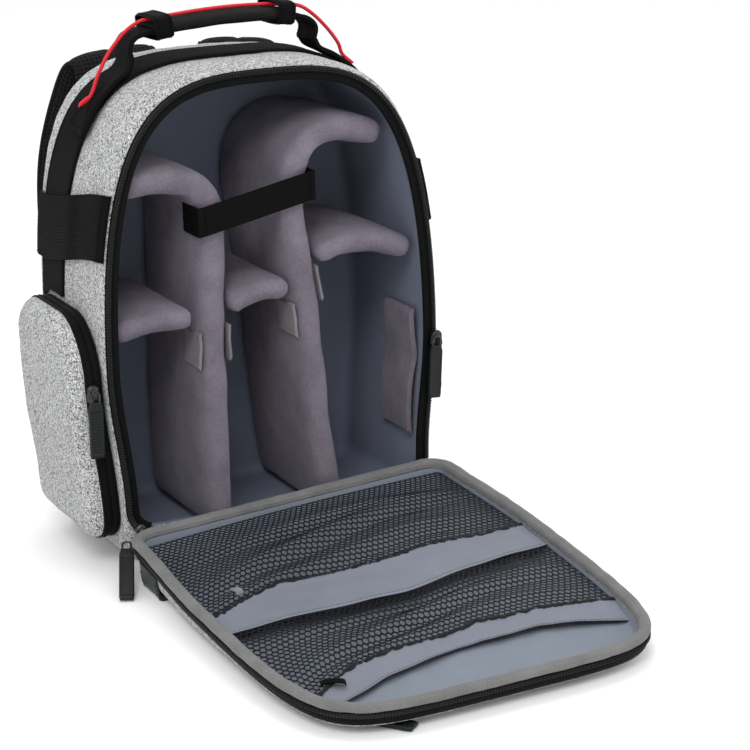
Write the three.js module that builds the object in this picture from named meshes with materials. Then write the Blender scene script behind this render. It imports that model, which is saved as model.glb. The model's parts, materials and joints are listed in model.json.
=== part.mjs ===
// A camera backpack standing open: a padded body with its front panel unzipped and laid down on the ground in front of it.
// Millimetres, +Z up. X runs across the bag, the opening faces -Y, and the wearer's back is at +Y.
// The origin is on the ground, under the middle of the body.
import * as THREE from 'three';

// Body
const bodyWidth = 250; // at its widest, above the side pockets
const footWidth = 232; // across the base
const bodyHeight = 334; // ground to crown
const bodyDepth = 128; // opening to back
const widestHeight = 139; // where the sides stop widening
const padWall = 8; // foam between two cloths
const sillHeight = 23; // ground to the opening's lower edge
const baseCorner = 22; // radius of the two lower corners
const baseSheet = 1.5; // leathercloth under the base
const fit = 0.3; // clearance between pieces that touch
const liningCloth = 1.6;
const liningSetback = 4; // from the opening to the lining's edge

// Outer trim
const stripeCloth = 1.2;
const stripeLift = 0.45; // off the wall
const stripeCrown = [46, 88]; // from the opening to its two edges, at the crown
const stripeSide = [66, 108]; // and at the side pockets
const sideStrapWidth = 43; // webbing
const sideStrapCloth = 1.8;
const sideStrapHeight = 236; // middle of its front end
const sideStrapDrop = 14; // how much lower its back end is

// Zip
const zipTapeWidth = 9;
const zipTapeCloth = 1.2;
const coilWidth = 3.4;
const coilHeight = 2;
const sliderLength = 13;
const sliderWidth = 9;
const sliderHeight = 5;
const pullLength = 38;
const pullWidth = 10;
const pullThickness = 3;
const linkWire = 1.8;
const linkReach = 6; // from the slider to the tab

// Side pockets
// The left one is filled and the right one lies flatter. front and rear are from the opening, band is how far the zip
// band stands out from the wall, and arch is the radius of the front shoulder.
const pockets = {
  left: { hand: -1, front: 4, rear: 114, bottom: 24, top: 176, arch: 40, band: 11, bulge: 22 },
  right: { hand: 1, front: 26, rear: 114, bottom: 26, top: 174, arch: 40, band: 6.5, bulge: 12 },
};
const pocketCloth = 2.5;

// Top handle
const handleWidth = 27; // webbing, along Y
const handleWeb = 3;
const gripWall = 2.4; // sleeve round the webbing, and its play
const gripPlay = 0.7;
const gripEnds = [-54, 46];
const handlePlace = 66; // from the opening to the handle's middle
const keeperWidth = 12;
const keepers = [-50, 39];
const cordDiameter = 2.6;

// Back
const backPad = 11;
const backPadMargin = 12;
const strapThickness = 11;
const adjusterWidth = 25; // lower webbing
const adjusterWeb = 1.8;
const buckleWidth = 36;
const buckleHeight = 26;
const buckleThickness = 6;

// Dividers
const dividerThickness = 16;
const dividerFront = 6; // from the opening to their front edge
const dividerGap = 0.6; // to the lining
const tabCloth = 2;
const tabWidth = 26;
const holdStrapWidth = 20;
const holdStrapCloth = 1.6;

// Lid
const lidWidth = 252;
const lidHingeOver = 11; // the lid at its hinge over the base, which it closes
const lidHingeWidth = footWidth + lidHingeOver;
const lidLength = 300;
const lidWidest = 119; // along the lid, where its shoulders begin
const lidGap = 9; // from the opening to the lid's near edge
const lidRimNear = [33, 47]; // rim above the ground at the hinge, left and right
const lidRimFar = 20; // and at the far end
const lidUnder = 4; // space for the outer pocket beneath
const lidTrayNear = 19; // rim to the tray's floor at the hinge
const lidTrayFar = 11; // and at the far end
const lidCorner = 20;
const bindingWidth = 8;
const bindingHeight = 5;
const lidBandDepth = 9; // black zip band on its side
const lidLiningCloth = 1.2;
const netCloth = 1;
const hemCloth = 1.4;
const leatherLength = 48; // along the lid from the hinge
const outerPocketWidth = 172;
const outerPocketEnds = [54, 246];
const outerPocketBand = 11;
const topZipLength = 150;
const topZipPlace = 264; // along the lid from its hinge
const topZipBand = 11;

const frontY = -bodyDepth / 2;
const backY = bodyDepth / 2;
const V2 = (x, y) => new THREE.Vector2(x, y);
const V3 = (x, y, z) => new THREE.Vector3(x, y, z);
const mix = (a, b, t) => a + (b - a) * t;
const clamp01 = (t) => Math.min(1, Math.max(0, t));
const smooth = (t) => clamp01(t) * clamp01(t) * (3 - 2 * clamp01(t));

const heather = { color: '#a9aba9', roughness: 0.95 };
const blackCloth = { color: '#1c1c1d', roughness: 0.9 };
const blackWeb = { color: '#191919', roughness: 0.85 };
const blackAirMesh = { color: '#161616', roughness: 1 };
const leather = { color: '#1b1e1f', roughness: 0.45 };
const liningBlue = { color: '#5d6675', roughness: 0.8 };
const fleece = { color: '#6d6570', roughness: 1 };
const hookFelt = { color: '#8b8985', roughness: 1 };
const greyVelour = { color: '#84827e', roughness: 1 };
const blackNet = { color: '#202226', roughness: 0.8 };
const zipMetal = { color: '#2b2b2c', roughness: 0.35, metalness: 0.8 };
const pullRubber = { color: '#17181a', roughness: 0.6 };
const redCord = { color: '#d3142a', roughness: 0.5 };
const buckleNylon = { color: '#141415', roughness: 0.5 };

const bag = new THREE.Group();
bag.name = 'camera_backpack';

function add(name, geometry, finish, parent = bag) {
  const mesh = new THREE.Mesh(geometry, new THREE.MeshStandardMaterial(finish));
  mesh.name = name;
  parent.add(mesh);
  return mesh;
}

// Triangles from a list of points, turned so that they face outwards.
function solid(points, faces) {
  let volume = 0;
  for (const [a, b, c] of faces) {
    volume += points[a].dot(points[b].clone().cross(points[c]));
  }
  const index = volume > 0 ? faces.flat() : faces.flatMap(([a, b, c]) => [a, c, b]);
  const geometry = new THREE.BufferGeometry();
  geometry.setAttribute('position', new THREE.Float32BufferAttribute(points.flatMap((p) => [p.x, p.y, p.z]), 3));
  geometry.setIndex(index);
  geometry.computeVertexNormals();
  return geometry;
}

// A closed body through rings of equally many points, with both ends closed by a fan.
function loft(rings) {
  const n = rings[0].length;
  const points = rings.flat();
  const faces = [];
  for (let r = 0; r + 1 < rings.length; r++) {
    for (let i = 0; i < n; i++) {
      const a = r * n + i;
      const b = r * n + ((i + 1) % n);
      faces.push([a, b, b + n], [a, b + n, a + n]);
    }
  }
  for (const [ring, first, flip] of [[rings[0], 0, true], [rings.at(-1), (rings.length - 1) * n, false]]) {
    const middle = ring.reduce((sum, p) => sum.add(p), V3(0, 0, 0)).divideScalar(n);
    const hub = points.push(middle) - 1;
    for (let i = 0; i < n; i++) {
      const a = first + i;
      const b = first + ((i + 1) % n);
      faces.push(flip ? [b, a, hub] : [a, b, hub]);
    }
  }
  return solid(points, faces);
}

// A closed body with no ends: rings that come back to the first.
function torus(rings) {
  const n = rings[0].length;
  const count = rings.length;
  const faces = [];
  for (let r = 0; r < count; r++) {
    for (let i = 0; i < n; i++) {
      const a = r * n + i;
      const b = r * n + ((i + 1) % n);
      const c = ((r + 1) % count) * n + ((i + 1) % n);
      const d = ((r + 1) % count) * n + i;
      faces.push([a, b, c], [a, c, d]);
    }
  }
  return solid(rings.flat(), faces);
}

// A sheet with a thickness: at(i, j, side) gives its points, side 0 below and 1 above.
function sheet(across, along, at) {
  const rings = [];
  for (let j = 0; j <= along; j++) {
    const ring = [];
    for (let i = 0; i <= across; i++) ring.push(at(i / across, j / along, 1));
    for (let i = across; i >= 0; i--) ring.push(at(i / across, j / along, 0));
    rings.push(ring);
  }
  const n = rings[0].length;
  const points = rings.flat();
  const faces = [];
  for (let r = 0; r + 1 < rings.length; r++) {
    for (let i = 0; i < n; i++) {
      const a = r * n + i;
      const b = r * n + ((i + 1) % n);
      faces.push([a, b, b + n], [a, b + n, a + n]);
    }
  }
  for (const [first, flip] of [[0, true], [(rings.length - 1) * n, false]]) {
    for (let i = 0; i < across; i++) {
      const top = [first + i, first + i + 1];
      const low = [first + n - 1 - i, first + n - 2 - i];
      const quad = [[top[1], top[0], low[0]], [top[1], low[0], low[1]]];
      faces.push(...quad.map(([a, b, c]) => (flip ? [a, b, c] : [a, c, b])));
    }
  }
  return solid(points, faces);
}

// How an outline is divided: floor, corner, side and crown. Places count its points from the floor's middle.
const [floorSteps, cornerSteps, sideSteps, crownSteps] = [1, 3, 4, 10];
const cornerEnd = floorSteps + cornerSteps;

// Half of an upright outline, from the middle of its floor round to its crown: a flat floor, a round corner,
// a side that widens up to its widest height, and a shoulder that turns over to the crown.
function halfOutline({ foot, wide, floor, widest, crown, corner, square, steep }) {
  const points = [];
  for (let i = 0; i < floorSteps; i++) points.push(V2(((foot - corner) * i) / floorSteps, floor));
  for (let i = 0; i < cornerSteps; i++) {
    const turn = ((i / cornerSteps) * Math.PI) / 2;
    points.push(V2(foot - corner + corner * Math.sin(turn), floor + corner - corner * Math.cos(turn)));
  }
  const start = V2(foot, floor + corner);
  const rise = widest - start.y;
  const side = new THREE.CubicBezierCurve(start, V2(foot, start.y + rise / 3), V2(wide, widest - rise / 3), V2(wide, widest));
  for (let i = 0; i < sideSteps; i++) points.push(side.getPoint(i / sideSteps));
  const over = crown - widest;
  const top = new THREE.CubicBezierCurve(V2(wide, widest), V2(wide, widest + steep * over), V2(square * wide, crown), V2(0, crown));
  for (let i = 0; i <= crownSteps; i++) points.push(top.getPoint(i / crownSteps));
  return points;
}

// The whole outline, anticlockwise from the middle of the floor.
function outline(shape) {
  const half = halfOutline(shape);
  const left = half.slice(1, -1).reverse().map((p) => V2(-p.x, p.y));
  return [...half, ...left];
}

// An outline moved inwards by a distance.
function inset(points, distance) {
  const n = points.length;
  return points.map((p, i) => {
    const along = points[(i + 1) % n].clone().sub(points[(i + n - 1) % n]).normalize();
    return V2(p.x - along.y * distance, p.y + along.x * distance);
  });
}

// The body's sections, front to back. at is a share of the depth, lift of the sill's height, foot and wide of the
// widths, rise of the height. square is how far out the shoulder reaches.
const bodySections = [
  { at: 0, lift: 1, foot: 0.995, wide: 0.985, rise: 0.991, square: 0.52 },
  { at: 0.04, lift: 0.5, foot: 1.01, wide: 0.996, rise: 0.997, square: 0.56 },
  { at: 0.16, lift: 0, foot: 1.02, wide: 1.004, rise: 1, square: 0.58 },
  { at: 0.5, lift: 0, foot: 1.02, wide: 1.007, rise: 1, square: 0.62 },
  { at: 0.88, lift: 0, foot: 1.02, wide: 1.004, rise: 1, square: 0.69 },
  { at: 0.96, lift: 0.12, foot: 0.99, wide: 0.98, rise: 0.993, square: 0.7 },
  { at: 1, lift: 0.35, foot: 0.94, wide: 0.935, rise: 0.974, square: 0.7 },
];

function bodyShape(row) {
  return outline({
    foot: (row.foot * footWidth) / 2,
    wide: (row.wide * bodyWidth) / 2,
    floor: baseSheet + fit + row.lift * (sillHeight - baseSheet - fit),
    widest: widestHeight,
    crown: row.rise * bodyHeight,
    corner: baseCorner,
    square: row.square,
    steep: 0.99,
  });
}
const bodyRings = bodySections.map((row) => ({ y: frontY + row.at * bodyDepth, ring: bodyShape(row) }));
const ringSize = bodyRings[0].ring.length;
const crownPlace = ringSize / 2;

// The body's outer outline at any depth.
function ringAt(y) {
  let k = 0;
  while (k < bodyRings.length - 2 && bodyRings[k + 1].y < y) k++;
  const t = clamp01((y - bodyRings[k].y) / (bodyRings[k + 1].y - bodyRings[k].y));
  return bodyRings[k].ring.map((p, i) => p.clone().lerp(bodyRings[k + 1].ring[i], t));
}

// A point of a ring. Places count its points anticlockwise from the floor's middle and may lie between two.
function pointAt(ring, place) {
  const n = ring.length;
  const wrapped = ((place % n) + n) % n;
  const i = Math.floor(wrapped);
  return ring[i].clone().lerp(ring[(i + 1) % n], wrapped - i);
}

// A point off the outer wall, at a depth and a lift.
function onWall(place, y, lift) {
  const p = pointAt(inset(ringAt(y), -lift), place);
  return V3(p.x, y, p.y);
}

// The place on the right-hand wall that has a height, or a distance across on the crown's right-hand half.
function placeAtHeight(y, z) {
  const ring = ringAt(y);
  for (let i = 1; i < crownPlace; i++) {
    if (ring[i].y <= z && ring[i + 1].y > z) return i + (z - ring[i].y) / (ring[i + 1].y - ring[i].y);
  }
  return crownPlace;
}
function placeAcross(y, x) {
  const ring = ringAt(y);
  const far = Math.abs(x);
  for (let i = crownPlace; i > 1; i--) {
    if (ring[i].x <= far && ring[i - 1].x > far) {
      const place = i - (far - ring[i].x) / (ring[i - 1].x - ring[i].x);
      return x > 0 ? place : ringSize - place;
    }
  }
  return crownPlace;
}

const flat = (ring, y) => ring.map((p) => V3(p.x, y, p.y));
const insideBack = backY - padWall;
const innerStops = [frontY, ...bodyRings.slice(1).map((r) => r.y).filter((y) => y < insideBack), insideBack];

// Padded shell: rings back to front outside, then front to back inside, so that the wall is one closed body.
add('body_shell', loft([
  ...bodyRings.map(({ y, ring }) => flat(ring, y)).reverse(),
  ...innerStops.map((y) => flat(inset(ringAt(y), padWall), y)),
]), heather);

// Lining: a tray of thin cloth inside the shell.
const liningOut = padWall + fit;
const liningIn = liningOut + liningCloth;
const liningStops = [frontY + liningSetback, ...innerStops.slice(1).filter((y) => y > frontY + liningSetback)];
const liningRing = (out, drop) => (y, k, all) => flat(inset(ringAt(y), out), k === all.length - 1 ? y - drop : y);
add('lining', loft([
  ...liningStops.map(liningRing(liningIn, fit + liningCloth)).reverse(),
  ...liningStops.map(liningRing(liningOut, fit)),
]), liningBlue);

// Base panel: leathercloth under the body, bent up a little at its edges.
add('base_panel', sheet(4, 6, (i, j, side) => {
  const y = mix(frontY + 26, backY - 18, j);
  return V3(mix(-96, 96, i), y, side ? baseSheet : 0);
}), leather);

// Dark stripe round the gusset, from one side pocket over the crown to the other.
const rearShoulder = 26; // radius of a pocket's rear shoulder
function pocketTopAt(y, { front, rear, top, arch }) {
  const near = Math.max(0, arch - (y - frontY - front));
  const far = Math.max(0, rearShoulder - (frontY + rear - y));
  return top - (arch - Math.sqrt(Math.max(0, arch ** 2 - near ** 2))) - (rearShoulder - Math.sqrt(Math.max(0, rearShoulder ** 2 - far ** 2)));
}
function stripeEdges(place) {
  const side = smooth(Math.abs(place - crownPlace) / crownSteps);
  return [0, 1].map((k) => frontY + mix(stripeCrown[k], stripeSide[k], side));
}
const stripeStart = placeAtHeight(20, pockets.left.top + 2.5);
const stripeFirst = Math.ceil(stripeStart + 0.05);
const stripePlaces = [stripeStart, ...Array(ringSize - 2 * stripeFirst + 1).keys()].map((k, n) => (n ? stripeFirst + k : k));
stripePlaces.push(ringSize - stripeStart);
add('gusset_stripe', sheet(2, stripePlaces.length - 1, (i, j, side) => {
  const k = Math.round(j * (stripePlaces.length - 1));
  const [y0, y1] = stripeEdges(stripePlaces[k]);
  const y = mix(y0, y1, i);
  const start = (pocket) => placeAtHeight(y, pocketTopAt(y, pocket) + 3.2);
  const place = k === 0 ? start(pockets.right) : k === stripePlaces.length - 1 ? ringSize - start(pockets.left) : stripePlaces[k];
  return onWall(place, y, stripeLift + (side ? stripeCloth : 0));
}), blackCloth);
const overStripe = stripeLift + fit + stripeCloth;

// Webbing across each side, over the stripe.
function sideStrap(hand) {
  const y0 = frontY + 1.5;
  const y1 = backY - 10;
  const [climb, over, drop] = [frontY + 45, frontY + 54, frontY + 108.5];
  const rows = [y0, bodyRings[1].y, bodyRings[2].y, climb, over, bodyRings[3].y, drop, bodyRings[4].y, y1];
  return sheet(4, rows.length - 1, (i, j, side) => {
    const y = rows[Math.round(j * (rows.length - 1))];
    const middle = sideStrapHeight - sideStrapDrop * smooth(((y - y0) / (y1 - y0)) * 1.15);
    const place = placeAtHeight(y, middle + (i - 0.5) * sideStrapWidth);
    const raised = Math.min(clamp01((y - climb) / (over - climb)), clamp01((bodyRings[4].y - y) / (bodyRings[4].y - drop)));
    const lift = 0.3 + mix(fit, overStripe, raised);
    const p = onWall(place, y, lift + (side ? sideStrapCloth : 0));
    return V3(p.x * hand, p.y, p.z);
  });
}
add('side_strap_left', sideStrap(-1), blackWeb);
add('side_strap_right', sideStrap(1), blackWeb);

// Side pocket outline in Y and Z, anticlockwise from its lower rear corner, pulled in by a margin.
function pocketOutline({ front, rear, bottom, top, arch }, margin) {
  const [y0, y1, foot] = [frontY + front, frontY + rear, 16];
  const corners = [
    [y1 - foot, bottom + foot, foot, -90, 3],
    [y1 - rearShoulder, top - rearShoulder, rearShoulder, 0, 5],
    [y0 + arch, top - arch, arch, 90, 5],
    [y0 + foot, bottom + foot, foot, 180, 3],
  ];
  const points = [];
  corners.forEach(([cy, cz, radius, from, steps], n) => {
    for (let k = 0; k <= steps; k++) {
      const turn = ((from + (k * 90) / steps) * Math.PI) / 180;
      points.push(V2(cy + (radius - margin) * Math.cos(turn), cz + (radius - margin) * Math.sin(turn)));
    }
    if (n % 2) return;
    const last = points.at(-1);
    const next = n === 0 ? V2(y1 - margin, top - rearShoulder) : V2(y0 + margin, bottom + foot);
    points.push(last.clone().lerp(next, 1 / 3), last.clone().lerp(next, 2 / 3));
  });
  return points;
}

// A pocket ring off the wall: the outline pulled in by a margin, drawn to its middle and lifted.
function pocketRing(pocket, margin, lift, draw = 0) {
  const middle = V2(frontY + (pocket.front + pocket.rear) / 2, (pocket.bottom + pocket.top) / 2);
  return pocketOutline(pocket, margin).map((q) => {
    const p = q.clone().lerp(middle, draw);
    const place = placeAtHeight(p.x, p.y);
    const wall = onWall(place, p.x, 0);
    const ring = ringAt(p.x);
    const ahead = pointAt(ring, place + 0.2).sub(pointAt(ring, place - 0.2)).normalize();
    const level = V2(mix(ahead.y, 1, 0.7), mix(-ahead.x, 0, 0.7)).normalize();
    return V3((wall.x + level.x * lift) * pocket.hand, p.x, wall.z + level.y * lift);
  });
}

// Rows of the face from its zipped edge to its middle: margin, share of the way from band to bulge, and draw.
const dome = [[0, 0, 0], [1.2, 0.45, 0], [5.5, 0.78, 0], [13, 0.96, 0], [15, 1, 0.5]];
function pocketFace(pocket) {
  const height = (share) => mix(pocket.band + 2 * fit, pocket.bulge, share);
  const outer = dome.map(([margin, share, draw]) => pocketRing(pocket, margin, height(share), draw));
  const inner = dome.map(([margin, share, draw], k) =>
    pocketRing(pocket, Math.min(margin + pocketCloth, 15.5), height(share) - (k === 0 ? 0 : mix(1, pocketCloth, clamp01(k / 3))), draw));
  return loft([...outer.reverse(), ...inner]);
}
function pocketZip(pocket) {
  const lifts = [fit + 0.6, pocket.band / 2, pocket.band];
  return torus([...lifts.map((lift) => pocketRing(pocket, 0, lift)), ...lifts.map((lift) => pocketRing(pocket, 1.5, lift)).reverse()]);
}
for (const [side, pocket] of Object.entries(pockets)) {
  add(`pocket_face_${side}`, pocketFace(pocket), heather);
  add(`pocket_zip_${side}`, pocketZip(pocket), blackCloth);
}

// A ribbon along a path: its width lies along one direction and its thickness across the path.
function ribbon(path, widthDirection, width, thickness, across = 1) {
  return sheet(across, path.length - 1, (i, j, side) => {
    const k = Math.round(j * (path.length - 1));
    const along = path[Math.min(k + 1, path.length - 1)].clone().sub(path[Math.max(k - 1, 0)]).normalize();
    const normal = along.clone().cross(widthDirection).normalize();
    return path[k].clone().addScaledVector(widthDirection, (i - 0.5) * width)
      .addScaledVector(normal, (side - 0.5) * thickness);
  });
}
const curve = (points, count) => new THREE.CatmullRomCurve3(points.map((p) => V3(...p)), false, 'centripetal').getSpacedPoints(count);

// A round cord along a curve.
function cord(points, diameter, count) {
  const path = new THREE.CatmullRomCurve3(points.map((p) => V3(...p)), false, 'centripetal');
  const shape = new THREE.Shape();
  for (let k = 0; k < 6; k++) {
    const turn = (k / 6) * 2 * Math.PI;
    const p = [(diameter / 2) * Math.cos(turn), (diameter / 2) * Math.sin(turn)];
    if (k === 0) shape.moveTo(...p);
    else shape.lineTo(...p);
  }
  return new THREE.ExtrudeGeometry(shape, { steps: count, extrudePath: path, curveSegments: 1 });
}

// Top handle: webbing whose ends lie along the stripe, in a padded sleeve.
const handleY = frontY + handlePlace;
const webLift = overStripe + handleWeb / 2 + 0.7;
const wallTop = (x, lift, y = handleY) => onWall(placeAcross(y, x), y, lift);
const handleSteps = 40;
function handleEdge(y) {
  const foot = (x, extra = 0) => {
    const p = wallTop(x, webLift + extra, y);
    return [p.x, y, p.z];
  };
  const points = [
    foot(-106), foot(-94), foot(-82, 0.5), [-74.5, y, foot(-74)[2] + 2.7], [-72.5, y, foot(-72)[2] + 8],
    [-73.5, y, 343], [-69, y, 349.5], [-59, y, 352.5], [-35, y, 355.5], [-5, y, 357.5],
    [25, y, 357.5], [48, y, 355.5], [58, y, 352.5], [63, y, 346], [61, y, 338],
    [61.5, y, foot(62)[2] + 7], [65, y, foot(66)[2] + 2.4], foot(74, 0.4), foot(84), foot(93), foot(101),
  ].map((p) => V3(...p));
  return new THREE.CatmullRomCurve3(points, false, 'centripetal').getPoints(handleSteps);
}
const handleEdges = [handleEdge(handleY - handleWidth / 2), handleEdge(handleY + handleWidth / 2)];
const handlePath = handleEdge(handleY);
add('handle_web', sheet(1, handleSteps, (i, j, side) => {
  const k = Math.round(j * handleSteps);
  const edge = handleEdges[Math.round(i)];
  const along = edge[Math.min(k + 1, handleSteps)].clone().sub(edge[Math.max(k - 1, 0)]).normalize();
  return edge[k].clone().add(V3(-along.z, 0, along.x).multiplyScalar((side - 0.5) * handleWeb));
}), blackWeb);

// The handle's height and lean at a distance across.
function handleAt(x) {
  const upper = handlePath.filter((p) => p.z > 350);
  const k = Math.max(1, upper.findIndex((p) => p.x > x));
  const [a, b] = [upper[k - 1], upper[k]];
  const t = (x - a.x) / (b.x - a.x);
  const along = b.clone().sub(a).normalize();
  return { p: a.clone().lerp(b, t), up: V3(-along.z, 0, along.x) };
}
function gripRing(x, width, above, below, softness = 0.75) {
  const { p, up } = handleAt(x);
  const corner = Math.min(above, below) * softness;
  const shape = [
    [-width / 2, -below + corner], [-width / 2, above - corner], [-width / 2 + corner, above], [width / 2 - corner, above],
    [width / 2, above - corner], [width / 2, -below + corner], [width / 2 - corner, -below], [-width / 2 + corner, -below],
  ];
  return shape.map(([y, z]) => V3(p.x + up.x * z, p.y + y, p.z + up.z * z));
}
const gripStops = handlePath.filter((p) => p.z > 350 && p.x > gripEnds[0] && p.x < gripEnds[1]).map((p) => p.x);
const sleeve = handleWeb / 2 + gripPlay + gripWall;
add('handle_grip', torus([
  ...gripStops.map((x) => gripRing(x, handleWidth + 6, sleeve, sleeve)),
  ...gripStops.map((x) => gripRing(x, handleWidth + 0.8, handleWeb / 2 + gripPlay, handleWeb / 2 + gripPlay, 0.1)).reverse(),
]), blackWeb);

// Keepers: loops round the grip with room on top for the cord.
const cordLift = sleeve + fit + cordDiameter / 2;
const keeperTop = sleeve + 2 * fit + cordDiameter + 0.2;
keepers.forEach((x, k) => {
  const stops = [x - keeperWidth / 2, x, x + keeperWidth / 2];
  const ring = (at, grow) => gripRing(at, handleWidth + 6.8 + 2 * grow, keeperTop + grow, sleeve + 0.4 + grow);
  add(`cord_keeper_${k + 1}`, torus([...stops.map((s) => ring(s, 1.6)), ...stops.map((s) => ring(s, 0)).reverse()]), pullRubber);
});
const overGrip = (x) => {
  const { p, up } = handleAt(x);
  return [p.x + up.x * cordLift, handleY, p.z + up.z * cordLift];
};
const cordFoot = (x, lift) => {
  const p = wallTop(x, webLift + handleWeb / 2 + fit + cordDiameter / 2 + 0.3 + lift);
  return [p.x, handleY, p.z];
};
add('handle_cord', cord([
  cordFoot(-94, 0), cordFoot(-98, 2.5), [-98.5, handleY, 312], [-91, handleY, 328], [-81, handleY, 343], [-69, handleY, 354.5],
  overGrip(-58).map((v, i) => v + (i === 2 ? 0.4 : 0)), overGrip(-50), overGrip(-40), overGrip(-20), overGrip(0), overGrip(20), overGrip(33), overGrip(44),
  [57, handleY, 360.5], [67, handleY, 354], [78, handleY, 343], [86, handleY, 332], [88.5, handleY, 325], cordFoot(90, 1.5), cordFoot(85, 0),
], cordDiameter, 34), redCord);

// Back panel: a pad of air mesh on the wearer's side.
const backShape = bodyRings.at(-1).ring;
const padStops = [[backPadMargin, 0], [backPadMargin - 1, backPad * 0.45], [backPadMargin + 2, backPad * 0.85], [backPadMargin + 9, backPad]];
add('back_panel', loft(padStops.map(([margin, lift]) => flat(inset(backShape, margin), backY + fit + lift))), blackAirMesh);

// Shoulder straps: padded bands given by their two edges, sewn to the back panel's top.
const strapY = backY + fit + backPad + fit + strapThickness / 2;
function shoulderStrap(hand) {
  const inner = curve([[16, -1.8, 296], [17, 1.4, 314], [18, 8, 328], [21, 15, 326], [29, 19, 302], [43, 20, 262], [50, 17, 210], [51, 11, 155], [51, 4, 108]], 16);
  const outer = curve([[74, -1.8, 288], [77, 1.4, 306], [78, 8, 322], [82, 15, 320], [92, 19, 296], [103, 20, 256], [107, 17, 210], [105, 11, 158], [91, 4, 108]], 16);
  const puff = [0.4, 1, 1, 0.4];
  const places = [0, 0.13, 0.87, 1];
  return sheet(3, 16, (i, j, side) => {
    const [a, b] = [inner[Math.round(j * 16)], outer[Math.round(j * 16)]];
    const k = Math.round(j * 16);
    const along = inner[Math.min(k + 1, 16)].clone().add(outer[Math.min(k + 1, 16)]).sub(inner[Math.max(k - 1, 0)]).sub(outer[Math.max(k - 1, 0)]);
    const normal = along.clone().cross(b.clone().sub(a)).normalize();
    const c = Math.round(i * 3);
    const thick = strapThickness * puff[c] * (k === 0 || k === 16 ? 0.6 : 1);
    const p = a.clone().lerp(b, places[c]).addScaledVector(normal, (side - 0.5) * thick);
    return V3(p.x * hand, p.y + strapY, p.z);
  });
}
const lowY = backY + fit + backPad + fit;
function adjuster(hand) {
  const path = curve([[74, 6, 101], [77, 8, 84], [84, 7, 66], [92, 4, 52], [97, 1.2, 40]], 8);
  return ribbon(path.map((p) => V3(p.x * hand, p.y + lowY, p.z)), V3(hand, 0, 0), adjusterWidth, adjusterWeb);
}
// A flat plate with two slots, upright in XZ.
function buckle(hand) {
  const shape = new THREE.Shape([V2(-18, -13), V2(18, -13), V2(18, 13), V2(-18, 13)].map((p) => V2((p.x * buckleWidth) / 36, (p.y * buckleHeight) / 26)));
  for (const z of [-5.5, 5.5]) {
    shape.holes.push(new THREE.Path([V2(-14, z - 3), V2(-14, z + 3), V2(14, z + 3), V2(14, z - 3)]));
  }
  const plate = new THREE.ExtrudeGeometry(shape, { depth: buckleThickness, bevelEnabled: false });
  plate.translate(0, 0, -buckleThickness / 2);
  plate.rotateX(Math.PI / 2);
  plate.rotateX(-0.08);
  plate.translate(hand * 77, lowY + 13.5, 88);
  return plate;
}
for (const [hand, side] of [[-1, 'left'], [1, 'right']]) {
  add(`shoulder_strap_${side}`, shoulderStrap(hand), blackAirMesh);
  add(`strap_webbing_${side}`, adjuster(hand), blackWeb);
  add(`strap_buckle_${side}`, buckle(hand), buckleNylon);
}

// Main zip: a tape round the opening with its coil on the outer edge, both ending at the hinge.
const zipEnd = 1.6; // place of its lower ends
const tapeY = frontY - fit;
const mouth = bodyRings[0].ring;
const mouthBand = (near, far, y0, y1) => {
  const rings = [inset(mouth, near), inset(mouth, far)];
  const places = [zipEnd, ...[...Array(ringSize - 3).keys()].map((k) => k + 2), ringSize - zipEnd];
  return sheet(1, places.length - 1, (i, j, side) => {
    const p = pointAt(rings[i], places[Math.round(j * (places.length - 1))]);
    return V3(p.x, side ? y1 : y0, p.y);
  });
};
add('zip_tape', mouthBand(0.6, 0.6 + zipTapeWidth, tapeY, tapeY - zipTapeCloth), blackCloth);
const coilY = tapeY - zipTapeCloth - fit;
add('zip_coil', mouthBand(0.9, 0.9 + coilWidth, coilY, coilY - coilHeight), blackWeb);

// A zip slider: a chamfered block, its length along one direction and its height along another.
function slider(place, lengthDirection, up) {
  const across = up.clone().cross(lengthDirection).normalize();
  const ring = (x, half, height) => [[-half, 0], [half, 0], [half, height * 0.6], [half * 0.55, height], [-half * 0.55, height], [-half, height * 0.6]]
    .map(([a, h]) => place.clone().addScaledVector(lengthDirection, x).addScaledVector(across, a).addScaledVector(up, h));
  const l = sliderLength / 2;
  return loft([ring(-l, sliderWidth * 0.3, sliderHeight * 0.7), ring(-l * 0.6, sliderWidth / 2, sliderHeight), ring(l * 0.6, sliderWidth * 0.42, sliderHeight), ring(l, sliderWidth * 0.28, sliderHeight * 0.7)]);
}
// Its puller: a wire link and a moulded tab in one piece, hanging from a point along a direction.
function puller(start, direction, face, length = pullLength) {
  const across = face.clone().cross(direction).normalize();
  const up = direction.clone().cross(across).normalize();
  const at = (d, w, h) => start.clone().addScaledVector(direction, d).addScaledVector(across, w).addScaledVector(up, h);
  const link = linkWire / 2;
  const ring = (d, w, t) => [at(d, -w, -t), at(d, w, -t), at(d, w, t), at(d, -w, t)];
  const w = pullWidth / 2;
  const t = pullThickness / 2;
  return loft([
    ring(0, w * 0.55, link), ring(linkReach - 0.6, w * 0.55, link), ring(linkReach, w * 0.8, t * 0.85), ring(linkReach + 3, w, t),
    ring(linkReach + length - 3, w, t), ring(linkReach + length, w * 0.75, t * 0.8),
  ]);
}

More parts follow.
